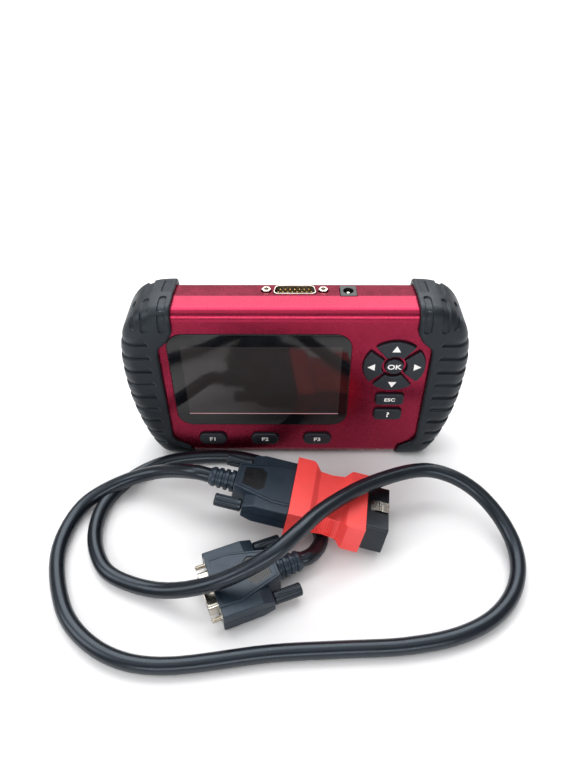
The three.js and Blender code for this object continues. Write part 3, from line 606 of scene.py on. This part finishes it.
def addCasing():
    half = casing["half"]
    shell = addSlab("casing", caseOutline(0), "X", -half, half)
    cutAway(shell, addSlab("bay", caseOutline(casing["wall"], 3), "X", -half - 1, half + 1))
    front = casing["front"]
    x, z = casing["windowMiddle"]
    width, height = casing["windowSize"]
    corner = casing["windowCorner"] + gap
    seat = addSlab("seat", rectangle(width + 2 * gap, height + 2 * gap, corner, x, z, 10),
                   "Y", front - 1, front + casing["windowSeat"])
    panelWidth, panelHeight = casing["panel"]
    hole = addSlab("hole", rectangle(panelWidth, panelHeight - 2, 2, x, z), "Y", front - 1, front + 4)
    cutAway(shell, seat, hole)
    for name, shape in keyShapes.items():
        cutAway(shell, addSlab("keyHole", shape(keyFacts["clearance"]), "Y", front - 1, front + 4))
    low, high = casing["top"] - casing["wall"] - casing["drop"] - 2, casing["top"] + 1
    jack = portFacts["jack"]
    portHole = [(-x, portFacts["y"] - y) for x, y in dOutline(0.5)]
    openings = [addSlab("portHole", portHole, "Z", low, high)]
    for side in (-1, 1):
        openings.append(addSlab("nutHole", ring(3.3, side * screwHalf, portFacts["y"]), "Z", low, high))
    openings.append(addSlab("jackHole", rectangle(jack["width"] + 0.6, jack["length"] + 0.6, 0.4,
                                                  jack["x"], jack["y"]), "Z", low, high))
    cutAway(shell, *openings)
    setDown(shell, "anodised", "body_shell", smooth=32)


addCasing()
print("casing made")

# Window
def addWindow():
    x, z = casing["windowMiddle"]
    width, height = casing["windowSize"]
    front = casing["front"] - 0.3
    glass = addSlab("window", rectangle(width, height, casing["windowCorner"], x, z, 12),
                    "Y", front, front + 1.5)
    soften(glass, 0.3, 3)
    setDown(glass, "window", "display_glass")


addWindow()


# Keys
legendFacts = {
    "bold": 0.022, "stretch": 1.12, "arrow": 2.9,
    "text": {"key_f1": ("F1", 4.4), "key_f2": ("F2", 4.4), "key_f3": ("F3", 4.4), "key_esc": ("ESC", 3.7),
             "key_help": ("?", 5.8), "key_ok": ("OK", 5.0)},
}


def addLegend(name, text, size, x, z, y, body):
    bpy.ops.object.select_all(action="DESELECT")
    bpy.ops.object.text_add()
    words = bpy.context.object
    words.name = name
    words.data.body = text
    words.data.size = size
    words.data.extrude = 0.05
    words.data.offset = legendFacts["bold"] * size
    words.data.resolution_u = 6
    words.data.align_x = "CENTER"
    words.data.align_y = "CENTER"
    bpy.ops.object.convert(target="MESH")
    words = bpy.context.object
    words.data.transform(Matrix.Translation((x, y, z)) @ Matrix.Rotation(math.pi / 2, 4, "X")
                         @ Matrix.Diagonal((legendFacts["stretch"], 1, 1, 1)))
    setDown(words, "legend", body=body, even=False)


def addArrow(name, x, z, turn, y, body):
    size = legendFacts["arrow"]
    points = [(x + size * math.cos(turn + a), z + size * math.sin(turn + a)) for a in (0, 2.1, -2.1)]
    arrow = addSlab(name, points, "Y", y - 0.05, y + 0.05)
    setDown(arrow, "legend", body=body, even=False)


def addKey(name, shape):
    front = casing["front"] - keyFacts["proud"]
    flangeFront = casing["front"] + casing["wall"] + gap
    body = name + "_body"
    isPad = name in ("key_up", "key_down", "key_left", "key_right", "key_ok")
    cap = addSlab("cap" + name.title().replace("_", ""), shape(0), "Y", front, flangeFront + 0.3)
    soften(cap, keyFacts["edge"], 4)
    grow = keyFacts["clearance"] + 0.15 if isPad else keyFacts["flange"]
    points = shape(0)
    x = sum(p[0] for p in points) / len(points)
    z = sum(p[1] for p in points) / len(points)
    flange = addSlab("flange", shape(grow), "Y", flangeFront, flangeFront + 1.2)
    stem = addSlab("stem", ring(2.2, x, z, 16), "Y", flangeFront + 1, flangeFront + 2.2)
    weld(cap, flange, stem)
    setDown(cap, "keyRubber", name, body=body)
    top = front - 0.02
    if name in legendFacts["text"]:
        addLegend("legend" + name[4:].title(), *legendFacts["text"][name], x, z, top, body)
    else:
        pad = keyFacts["pad"]
        turn = math.atan2(z - pad["z"], x - pad["x"])
        middle = (pad["inner"] + pad["outer"]) / 2
        addArrow("arrow" + name[4:].title(), pad["x"] + middle * math.cos(turn),
                 pad["z"] + middle * math.sin(turn), turn, top, body)


for keyName, keyShape in keyShapes.items():
    addKey(keyName, keyShape)
print("keys made")

# Rubber boots
boots = {
    "outline": [(82, 0), (88.5, 1.8), (94.2, 10.5), (98.8, 24.5), (101.8, 38.5), (103.6, 52.5), (104.3, 68),
                (104, 82), (102.4, 94), (98.6, 106), (91.5, 115), (82, 119.2), (70, 120.6)],
    "inner": [(68, -5), (68, 5), (69.5, 10), (78, 15.5), (80, 19.5), (80, 88.5), (79.3, 93.5), (73.5, 98.5),
              (70, 105), (70, 130)],
    "reach": 20.8, "fillet": 9, "filletSteps": 8, "ridge": -2.3, "drop": 2.6, "top": 120.6,
    "grooves": [95.6, 85.5, 75, 64.8, 54.4, 44.1, 33.5, 23.1, 13.4],
    "grooveStart": 84.6, "grooveDepth": 1.25, "grooveFade": 5.5, "grooveLip": 0.3,
    "slots": [75.2, 85.3], "slotHalf": 2.05, "slotDepth": 1.0, "slotLow": 107.3,
    "slotFront": -6.6, "slotBack": 1.8, "slotLip": 0.22,
    "cornerSlot": dict(low=(92, 109), high=(94, 114.6), half=2.1, front=-19.3, back=-2.4),
    "footStep": [(68, 8.6), (77.4, 14.6)], "footDepth": 0.7, "footWide": 1.5,
    "voxel": 0.72, "smoothing": 5,
}


def smoothOutline(points, steps):
    line = smoothLine([Vector((x, z, 0)) for x, z in points], steps)
    return [(p.x, p.y) for p in line]


# The whole body both boots are cut from, rounded all the way round at the front and the back.
def addBootBlank():
    right = smoothOutline(boots["outline"], 4)
    outline = right + [(-x, z) for x, z in reversed(right)]
    reach, fillet, steps = boots["reach"], boots["fillet"], boots["filletSteps"]
    flat = reach - fillet
    blank = addSlab("blank", outline, "Y", -flat, flat)
    halfX, halfZ = boots["outline"][6][0], boots["top"] / 2
    for way in (-1, 1):
        pickFaces(blank, lambda centre, normal: normal.y * way > 0.9)
        inset = out = 0
        for k in range(1, steps + 1):
            angle = k / steps * math.pi / 2
            newInset, newOut = fillet * (1 - math.cos(angle)), fillet * math.sin(angle)
            bpy.ops.mesh.extrude_region_move(TRANSFORM_OT_translate={"value": (0, way * (newOut - out), 0)})
            bpy.ops.transform.resize(
                value=((halfX - newInset) / (halfX - inset), 1, (halfZ - newInset) / (halfZ - inset)),
                center_override=(0, way * flat, halfZ))
            inset, out = newInset, newOut
        endEdit()
    startEdit(blank)
    bpy.ops.object.mode_set(mode="EDIT")
    faceOut()
    return blank


def step(value, low, high):
    t = max(0.0, min(1.0, (value - low) / (high - low)))
    return t * t * (3 - 2 * t)


# How far a point of the boot's top is inside the edge of the nearest channel.
def insideSlot(at):
    best = -9.0
    half = boots["slotHalf"]
    for x in boots["slots"]:
        across = abs(at.x - x)
        front = math.hypot(across, max(0.0, boots["slotLow"] - at.z, at.y - boots["slotFront"]))
        back = math.hypot(across, max(0.0, boots["slotLow"] - at.z, boots["slotBack"] - at.y))
        best = max(best, half - front, half - back)
    corner = boots["cornerSlot"]
    share = max(0.0, min(1.0, (at.z - corner["low"][1]) / (corner["high"][1] - corner["low"][1])))
    x = corner["low"][0] + (corner["high"][0] - corner["low"][0]) * share
    beyond = max(0.0, corner["low"][1] - at.z, at.y - corner["back"])
    return max(best, corner["half"] - math.hypot(at.x - x, beyond) if at.y < corner["back"] + 3 else -9.0)


def besideFoot(at):
    (x0, z0), (x1, z1) = boots["footStep"]
    long = math.hypot(x1 - x0, z1 - z0)
    along = ((at.x - x0) * (x1 - x0) + (at.z - z0) * (z1 - z0)) / long
    off = ((at.z - z0) * (x1 - x0) - (at.x - x0) * (z1 - z0)) / long
    return off + boots["footWide"] if -2 < along < long else -9.0


# How deep the grooves, channels and foot step go in at a point of the right boot.
def bootRelief(at):
    depth = 0.0
    lip = boots["grooveLip"]
    if at.x > boots["grooveStart"] - 3 and at.z < 103:
        rise = min((at.z - z for z in boots["grooves"] if at.z > z - lip), default=99)
        if rise < boots["grooveFade"]:
            fade = (1 - max(rise, 0) / boots["grooveFade"]) ** 1.5
            start = step(at.x - 0.35 * max(rise, 0), boots["grooveStart"] - 0.5, boots["grooveStart"] + 0.9)
            depth = boots["grooveDepth"] * fade * step(rise, -lip, lip) * start
    if at.z > 98:
        depth = max(depth, boots["slotDepth"] * step(insideSlot(at), -boots["slotLip"], boots["slotLip"]))
    if at.x < 81 and at.z < 20 and abs(at.y) > 19.4:
        depth = max(depth, boots["footDepth"] * step(besideFoot(at), -0.2, 0.2))
    return depth


def nearRelief(at):
    if at.x < 83 and abs(at.y) < 18.6 and at.z < 118.4:
        return False
    if at.z > 98 and abs(insideSlot(at)) < 1.0:
        return True
    if at.x < 81 and at.z < 20:
        return abs(at.y) > 19 and abs(besideFoot(at)) < 1.2
    return at.x > boots["grooveStart"] - 1.5 and any(-1.1 < at.z - z < 1.3 for z in boots["grooves"])


def addBoots():
    right = addBootBlank()
    reach = boots["reach"] + 1
    outer = addSlab("mask", boots["inner"] + [(210, 130), (210, -5)], "Y", -reach, reach)
    top, ridge = boots["top"], boots["ridge"]
    fall = boots["drop"] / (18 - ridge)
    back = 30
    slope = addSlab("slope", [(-back, -1), (back, -1), (back, top - fall * (back - ridge)), (ridge, top),
                              (-back, top)], "X", 60, 110)
    bay = addSlab("bay", caseOutline(-gap, 4), "X", -82.8, 82.8)
    keepInside(right, outer, slope)
    cutAway(right, bay)
    useModifier(right, "REMESH", mode="VOXEL", voxel_size=boots["voxel"])
    useModifier(right, "SMOOTH", factor=0.5, iterations=boots["smoothing"])
    # a finer net where a groove, a channel or the foot's step turns
    pickFaces(right, lambda centre, normal: nearRelief(centre))
    bpy.ops.mesh.subdivide(number_cuts=2, smoothness=0.6, quadcorner="INNERVERT")
    endEdit()
    mesh = right.data
    normals = [vertex.normal.copy() for vertex in mesh.vertices]
    for vertex, normal in zip(mesh.vertices, normals):
        at = vertex.co
        hidden = at.x < 83.1 and abs(at.y) < 18.7 and 1 < at.z < 118.4
        if not hidden and normal.x > -0.7:
            vertex.co = at - normal * bootRelief(at)
    left = copyOf(right, "bootLeft", Matrix.Scale(-1, 4, (1, 0, 0)))
    right.name = "bootRight"
    for piece, node in ((right, "boot_right"), (left, "boot_left")):
        print(piece.name, "faces", len(piece.data.polygons))
        setDown(piece, "bootRubber", node, smooth=60, even=False)


addBoots()
print("boots made")


# Top connectors
def contactPlaces():
    pitch, row = portFacts["pitch"], portFacts["row"]
    return [((i - 3.5) * pitch, row) for i in range(8)] + [((i - 3) * pitch, -row) for i in range(7)]


# A D-shaped shell standing on its flange, whose top is at z = 0.
def addDShell(name):
    reach = portFacts["reach"]
    shell = addSlab(name, dOutline(0), "Z", -0.1, reach)
    flange = addSlab("flange", rectangle(39.2, 12.5, 1.5), "Z", -1, 0)
    weld(shell, flange)
    cutAway(shell, addSlab("hollow", dOutline(-0.4), "Z", -2, reach + 1),
            *[addSlab("hole", ring(1.8, side * screwHalf, 0, 20), "Z", -2, 1) for side in (-1, 1)])
    soften(shell, 0.14, 2, 40)
    return shell


def addPins(name, low, high, radius=0.5):
    pins = None
    for x, y in contactPlaces():
        pin = addSlab("pin", ring(radius, x, y, 12), "Z", low, high - 0.35)
        taper(pin, lambda centre, normal: normal.z > 0.9, (0, 0, 0.35), (0.5, 0.5, 1), (x, y, 0))
        if pins is None:
            pins = pin
            pins.name = pins.data.name = name
        else:
            joinTo(pins, pin)
    return pins


def addPort():
    place = Matrix.Translation((0, portFacts["y"], portFacts["flangeTop"])) @ turned(0, 0, 180)
    setDown(addDShell("portShell"), "nickel", "port_shell", place)
    setDown(addPins("portPins", 0.9, portFacts["reach"] - 0.8), "gold", "port_pins", place)
    nutTop = casing["top"] - portFacts["flangeTop"] + 0.5
    for side, name in ((-1, "left"), (1, "right")):
        x = -side * screwHalf
        nut = addSlab("hexNut" + name.title(), ring(2.8, x, 0, 6), "Z", gap, nutTop)
        soften(nut, 0.25, 2)
        weld(nut, addSlab("thread", ring(1.4, x, 0, 16), "Z", -4, 1))
        cutAway(nut, addSlab("bore", ring(1.5, x, 0, 20), "Z", 2.3, 9))
        setDown(nut, "nickel", "port_jackscrew_" + name, place)


def addJack():
    jack = portFacts["jack"]
    x, y = jack["x"], jack["y"]
    low, high = 103.8, casing["top"] + 0.3
    block = addSlab("powerJack", rectangle(jack["width"], jack["length"], 0.6, x, y), "Z", low, high)
    soften(block, 0.2, 2)
    cutAway(block, addSlab("bore", ring(jack["bore"], x, y, 40), "Z", high - 9.5, high + 1),
            addSlab("pinHole", ring(jack["pin"] + 0.3, x, y, 20), "Z", low + 1, high))
    setDown(block, "blackPlastic", "dc_jack")
    pin = addSlab("jackPin", ring(jack["pin"], x, y, 20), "Z", low + 1.3, high - 1.2)
    soften(pin, 0.35, 3)
    setDown(pin, "nickel", "dc_jack_pin")


addPort()
addJack()
print("top connectors made")


# Plugs
def facing():
    return Matrix.Rotation(-math.pi / 2, 4, "Y") @ Matrix.Rotation(math.pi / 2, 4, "Z")


def mirroredPair(half):
    return half + [(x, -y, *rest) for x, y, *rest in reversed(half)]


def hexPad(name, low, high):
    return addSlab(name, rounded(mirroredPair(plugFacts["padCorners"]), 0.8, 4), "Z", low, high)


def panelLine(inset):
    front, side, tongue = 2.4 + inset, 13.9 - inset, plugFacts["tongue"] - 1.5 - inset
    return rounded(mirroredPair([(front, -side), (13.2, -side), (tongue, -7.9 + inset)]), 0.6, 3)


def addHood(name):
    facts = plugFacts
    half, wide, panel = facts["thickness"] / 2, facts["width"] / 2, facts["panel"]
    hood = addSlab(name, rounded([
        (0, -half), (facts["shoulder"], -half, 2), (facts["rear"], -4.3), (facts["rear"], 4.3),
        (facts["shoulder"], half, 2), (0, half)], 0, 4), "Y", -wide, wide)
    soften(hood, 0.8, 3, 30)
    edge = [(0, -facts["raisedHalf"], 0), (13.5, -facts["raisedHalf"], 1.5),
            (facts["tongue"], -facts["raisedTip"], 1)]
    raised = addSlab("raised", rounded(mirroredPair(edge), 0, 4), "Z", -half - panel, half + panel)
    soften(raised, 0.45, 3, 30)
    weld(hood, raised)
    for way in (-1, 1):
        face = way * (half + panel)
        cutAway(hood, hexPad("pad", *sorted((face - way * facts["padDepth"], face + way))))
        # a fine line round the raised panel
        low, high = sorted((face - way * plugFacts["lineDepth"], face + way))
        line = addSlab("line", panelLine(0), "Z", low, high)
        cutAway(line, addSlab("inside", panelLine(plugFacts["lineWide"]), "Z", low - 1, high + 1))
        cutAway(hood, line)
    # the part line along each side
    for side in (-1, 1):
        inner, outer = sorted((side * (wide - 0.3), side * (wide + 1)))
        cutAway(hood, addBlock("split", -1, 40, inner, outer, -0.15, 0.15))
    cutAway(hood, addBlock("seat", -1, 1.6, -19.9, 19.9, -6.55, 6.55),
            addBlock("well", 0, 13, -13.2, 13.2, -5.3, 5.3))
    for side in (-1, 1):
        cutAway(hood, addSlab("bore", ring(2.1, side * screwHalf, 0, 24), "X", -1, facts["rear"] + 1))
    return hood


# A plate in the hood's hexagonal recess, with rows of studs on it.
def addGripPad(name, way):
    face = way * (plugFacts["thickness"] / 2 + plugFacts["panel"] - plugFacts["padDepth"])
    pad = hexPad(name, *sorted((face - way * 0.1, face + way * 0.12)))
    x = 20.6
    while x < 31.8:
        limit = (6.2 + (x - 19.2) * 0.72 if x < 22.8 else 8.8 - (x - 22.8) * 0.25) - 0.7
        count = int(limit / 0.62)
        for i in range(-count, count + 1):
            y = (i + 0.5 * (round((x - 20.6) / 1.1) % 2)) * 1.24
            if abs(y) > limit:
                continue
            joinTo(pad, addSlab("stud", ring(0.36, x, y, 6), "Z", *sorted((face, face + way * 0.42))))
        x += 1.1
    return pad


def addRelief(name):
    facts = plugFacts
    start = facts["tongue"] + gap
    pitch = facts["reliefLength"] / facts["rings"]
    profile = [(start, 0.0), (start, facts["reliefRoot"] - 0.5)]
    for i in range(facts["rings"]):
        radius = facts["reliefRoot"] + (facts["reliefTip"] - facts["reliefRoot"]) * i / (facts["rings"] - 1)
        low = start + i * pitch
        high = low + pitch * 0.62
        profile += [(low, radius - 0.35), (low + 0.35, radius),
                    (high - 0.35, radius), (high, radius - 0.35)]
        if i < facts["rings"] - 1:
            profile += [(high + 0.1, 5.15), (low + pitch - 0.1, 5.15)]
    profile += [(start + facts["reliefLength"] - 0.9, 5.2), (start + facts["reliefLength"], 4.8),
                (start + facts["reliefLength"], 0.0)]
    return addTurning(name, profile, 48)


# The knob of the screw on the +Y side, fluted between two plain collars.
def addKnob(name):
    facts = plugFacts
    y = screwHalf
    low = facts["rear"] + gap
    high = low + facts["knobLength"]
    knob = addSlab(name, ring(facts["knobRadius"], y, 0, 48), "X", low, high)
    soften(knob, 0.8, 3)
    reach = facts["knobRadius"] + 0.25
    for i in range(facts["flutes"]):
        angle = (i + 0.5) * 2 * math.pi / facts["flutes"]
        flute = addSlab("flute", rectangle(1.5, 1.5, 0.5, 0, 0, 3), "X", low + 2.6, high - 2.2)
        flute.data.transform(Matrix.Translation((0, y, 0)) @ Matrix.Rotation(angle, 4, "X")
                             @ Matrix.Translation((0, reach, 0)))
        cutAway(knob, flute)
    neck = addSlab("neck", ring(2.0, y, 0, 24), "X", 16, low + 0.5)
    return weld(knob, neck)


def addTip(name):
    radius = plugFacts["screwRadius"]
    profile = [(-5.5, 0.0), (-5.5, radius * 0.6), (-5, radius)]
    for i in range(10):
        profile += [(i * 0.5 - 4.9, radius), (i * 0.5 - 4.7, radius * 0.82)]
    profile += [(0.2, radius), (15.5, radius), (15.5, 0.0)]
    tip = addTurning(name, profile, 20)
    tip.data.transform(Matrix.Translation((0, screwHalf, 0)))
    return tip


# A thumbscrew: its moulded knob and its metal shaft keep a finish each.
def addScrew(name):
    screw, tip = addKnob(name), addTip("tip")
    screw.data.materials.append(finishes["screwPlastic"])
    tip.data.materials.append(finishes["nickel"])
    joinTo(screw, tip)
    return screw


def addInsert(name):
    reach = portFacts["reach"]
    insert = addSlab(name, dOutline(-0.7), "Z", -1.4, reach - 0.4)
    soften(insert, 0.25, 2)
    cutAway(insert, *[addSlab("hole", ring(0.62, x, y, 12), "Z", 2, reach + 1) for x, y in contactPlaces()])
    weld(insert, addBlock("back", -12.5, 12.5, -4.7, 4.7, -11, -1.3))
    return insert


hoodMade = addHood("hood")
reliefMade = addRelief("relief")
padsMade = [addGripPad("gripPadTop", 1), addGripPad("gripPadUnder", -1)]
screwMade = addScrew("screw")
shellMade = addDShell("handsetPlugShell")
onCord = []


def setPlugDown(prefix, node, place, isFree):
    onCord.append(setDown(copyOf(hoodMade, prefix + "Hood"), "plugPlastic", node + "_hood", place,
                          smooth=32))
    onCord.append(setDown(copyOf(reliefMade, prefix + "Relief"), "plugPlastic", node + "_relief", place,
                          smooth=40, even=False))
    for made, label in zip(padsMade, ("Top", "Under")):
        onCord.append(setDown(copyOf(made, prefix + "Pad" + label), "gripPlastic", place=place, even=False))
    for side, label in ((-1, "left"), (1, "right")):
        screw = copyOf(screwMade, prefix + "Screw" + label.title(), Matrix.Scale(side, 4, (0, 1, 0)))
        screwNode = node + "_screw_" + label
        onCord.append(setDown(screw, "screwPlastic", screwNode, place, screwNode + "_body", smooth=40))
    if isFree:
        outward = place @ Matrix.Translation((gap, 0, 0)) @ facing()
        onCord.append(setDown(shellMade, "nickel", node + "_shell", outward))
        onCord.append(setDown(addInsert(prefix + "Insert"), "blackPlastic", node + "_insert", outward))


setPlugDown("carPlug", "car_plug", carPlugPlace, False)
setPlugDown("handsetPlug", "handset_plug", handsetPlugPlace, True)
for spare in (hoodMade, reliefMade, screwMade, *padsMade):
    bpy.data.objects.remove(spare)
print("plugs made")

# Adapter
adapterFacts = {
    "length": 44.5, "width": 45.6, "tail": 43.2, "thickness": 20.2, "waist": 33.4, "recess": 2.4,
    "ribStart": 16.8, "ribs": 9, "ribPitch": 1.45,
    "shroudTop": 33, "shroudBottom": 38.6, "shroudHeight": 17.7, "shroudReach": 13.3, "shroudWall": 1.5,
}


def addAdapterBody():
    facts = adapterFacts
    wide, tail, waist = facts["width"] / 2, facts["tail"] / 2, facts["waist"] / 2
    half = facts["thickness"] / 2
    low = half - facts["recess"]
    length = facts["length"]
    plan = rounded(mirroredPair([
        (0, -wide, 0), (10.2, -wide, 2.5), (14.8, -waist - 0.8, 3), (22.5, -waist, 10),
        (30, -waist - 1.2, 3), (34.6, -tail, 2), (length, -tail, 0)]), 0, 6)
    profile = rounded(mirroredPair([
        (0, -half, 0), (12, -half, 1.5), (15, -low, 1.5), (30.5, -low, 1.5), (33.5, -half, 1.5),
        (length, -half, 0)]), 0, 6)
    block = addSlab("adapterBody", plan, "Z", -half - 1, half + 1)
    keepInside(block, addSlab("sides", profile, "Y", -wide - 1, wide + 1))
    soften(block, 1.1, 4, 40)
    seat = placeFacts["hoodSeat"] + gap
    cutAway(block, addBlock("seat", -1, seat, -21.2, 21.2, -7.9, 7.9),
            addBlock("well", 0, 14, -13.4, 13.4, -5.5, 5.5),
            addBlock("socket", 35, length + 1, -17.3, 17.3, -6.8, 6.8))
    for side in (-1, 1):
        cutAway(block, addSlab("nutHole", ring(3.3, side * screwHalf, 0, 24), "X", 0, 10))
    for side in (-1, 1):
        for i in range(facts["ribs"]):
            x = facts["ribStart"] + i * facts["ribPitch"]
            edge = side * (waist + 0.35)
            groove = addSlab("groove", ring(0.62, x, edge, 12), "Z", -low + 1, low - 1)
            cutAway(block, groove)
    return block


def shroudOutline(inset, steps=6):
    facts = adapterFacts
    top = facts["thickness"] / 2 - 2 - inset
    bottom = top - facts["shroudHeight"] + 2 * inset
    wide, narrow = facts["shroudBottom"] / 2 - inset, facts["shroudTop"] / 2 - inset
    corner = 1.6 - inset * 0.3
    return rounded([(-wide, bottom), (wide, bottom), (narrow, top), (-narrow, top)], corner, steps)


shroudStart = adapterFacts["length"] + gap
shroudEnd = shroudStart + adapterFacts["shroudReach"]
clipFloor = adapterFacts["thickness"] / 2 - 3


def addShroud():
    shroud = addSlab("obdShroud", shroudOutline(0), "X", shroudStart, shroudEnd)
    soften(shroud, 0.5, 3, 40)
    weld(shroud, addBlock("plate", 35.3, shroudStart + 0.6, -17, 17, -6.5, 6.5))
    inside = shroudOutline(adapterFacts["shroudWall"])
    cutAway(shroud, addSlab("hollow", inside, "X", shroudStart + 1.8, shroudEnd + 1),
            addBlock("slot", shroudStart + 1.5, shroudEnd + 1, -4.3, 4.3, clipFloor, 20))
    return shroud


def addContacts():
    start = shroudStart + 1.8 + gap
    middle = adapterFacts["thickness"] / 2 - 2 - adapterFacts["shroudHeight"] / 2
    plate = addBlock("contactPlate", start, start + 1, -14.8, 14.8, middle - 6.4, middle + 6.4)
    soften(plate, 0.2, 2)
    for i in range(8):
        for row in (-1, 1):
            y, z = (i - 3.5) * 4, middle + row * 4.3
            blade = addBlock("blade", start + 0.9, shroudEnd - 2.9, y - 0.75, y + 0.75, z - 0.4, z + 0.4)
            taper(blade, lambda centre, normal: normal.x > 0.9, (0.5, 0, 0), (1, 0.6, 0.35), (0, y, z))
            weld(plate, blade)
    return plate


def addClip():
    strip = 0.4
    low = clipFloor + gap
    line = smoothLine([Vector(p) for p in (
        (shroudStart + 2.2, low, 0), (shroudStart + 4.6, low + 0.9, 0), (shroudStart + 7.5, low + 1.7, 0),
        (shroudStart + 9, low + 1.2, 0), (shroudEnd - 0.2, low + 1.5, 0))], 5)
    points = [(p.x, p.y) for p in line] + [(p.x, p.y + strip) for p in reversed(line)]
    clip = addSlab("obdClip", points, "Y", -3.7, 3.7)
    cutAway(clip, addBlock("slit", shroudStart + 6.9, shroudStart + 7.3, -2.9, 2.9, low - 1, low + 4))
    return clip


for made, finish, node, angle in (
        (addAdapterBody(), "redPlastic", "adapter_body", 32),
        (addShroud(), "shroudPlastic", "obd_shroud", 35),
        (addContacts(), "nickel", "obd_pins", 35)):
    onCord.append(setDown(made, finish, node, adapterPlace, "adapter_end", smooth=angle))
onCord.append(setDown(addClip(), "nickel", "obd_clip", adapterPlace, "clip_spring", smooth=40, even=False))
print("adapter made")

# The CAD pieces that stay
keptFinishes = {
    "blackPlastic": [
        "end_cap_left", "end_cap_right", "display_panel", "processor", "memory_chip",
        "bus_transceiver", "power_inductor", "buzzer", "board_header", "port_insulator",
        "car_plug_insert", "adapter_port"],
    "nickel": [
        "cap_screw_left_lower", "cap_screw_left_upper", "cap_screw_right_lower",
        "cap_screw_right_upper", "car_plug_shell", "adapter_nut_near", "adapter_nut_far"],
    "board": [
        "keypad_board", "main_board", "port_board"],
    "foil": [
        "display_ribbon"],
    "keyRubber": [
        "keypad_mat"],
}
for finish, names in keptFinishes.items():
    for name in names:
        nodes[name].data.materials.clear()
        nodes[name].data.materials.append(finishes[finish])
onCord += [nodes[name] for name in ("car_plug_shell", "car_plug_insert", "adapter_port", "adapter_nut_near",
                                    "adapter_nut_far")]

# The cable's own finish and facts
cableJacket.data.materials.append(finishes["cableJacket"])
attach(cableJacket, "handset_and_lead")
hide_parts("cable")

# Floor and light
stageFacts = {
    "floor": 8.0,
    "floorColour": (0.84, 0.84, 0.85),
    "world": 0.3,
    "lights": [
        dict(name="topLight", place=(-0.05, 0.62, 1.2), aim=(0, 0, 0.1), size=(1.7, 0.9), power=20),
        dict(name="overLight", place=(0, -0.2, 1.5), aim=(0, -0.1, 0), size=(1.6, 1.2), power=6),
        dict(name="leftLight", place=(-1.2, -0.35, 0.95), aim=(0, -0.06, 0.03), size=(0.7, 0.9), power=8),
        dict(name="frontLight", place=(0.05, -1.5, 0.62), aim=(0, 0, 0.1), size=(1.8, 0.4), power=12),
        dict(name="farLight", place=(0, 3.0, 2.0), aim=(0, 2.8, 0), size=(5, 2), power=90),
    ],
}


def addFloor():
    bpy.ops.object.select_all(action="DESELECT")
    bpy.ops.mesh.primitive_plane_add(size=stageFacts["floor"], location=(0, 0, -0.0002))
    floor = bpy.context.object
    floor.name = "floor"
    material = newMaterial("floorPaper", stageFacts["floorColour"], 0.9, specular=0.1)
    floor.data.materials.append(material)


def addLights():
    for facts in stageFacts["lights"]:
        place, aim = Vector(facts["place"]), Vector(facts["aim"])
        bpy.ops.object.light_add(type="AREA", location=place)
        lamp = bpy.context.object
        lamp.name = facts["name"]
        lamp.data.shape = "RECTANGLE"
        lamp.data.size, lamp.data.size_y = facts["size"]
        lamp.data.energy = facts["power"]
        lamp.rotation_euler = (aim - place).to_track_quat("-Z", "Y").to_euler()
    world = bpy.data.worlds.new("studio")
    world.use_nodes = True
    world.node_tree.nodes["Background"].inputs["Color"].default_value = (1, 1, 1, 1)
    world.node_tree.nodes["Background"].inputs["Strength"].default_value = stageFacts["world"]
    bpy.context.scene.world = world


addFloor()
addLights()
bpy.context.scene.view_settings.view_transform = "Standard"
print("stage set")
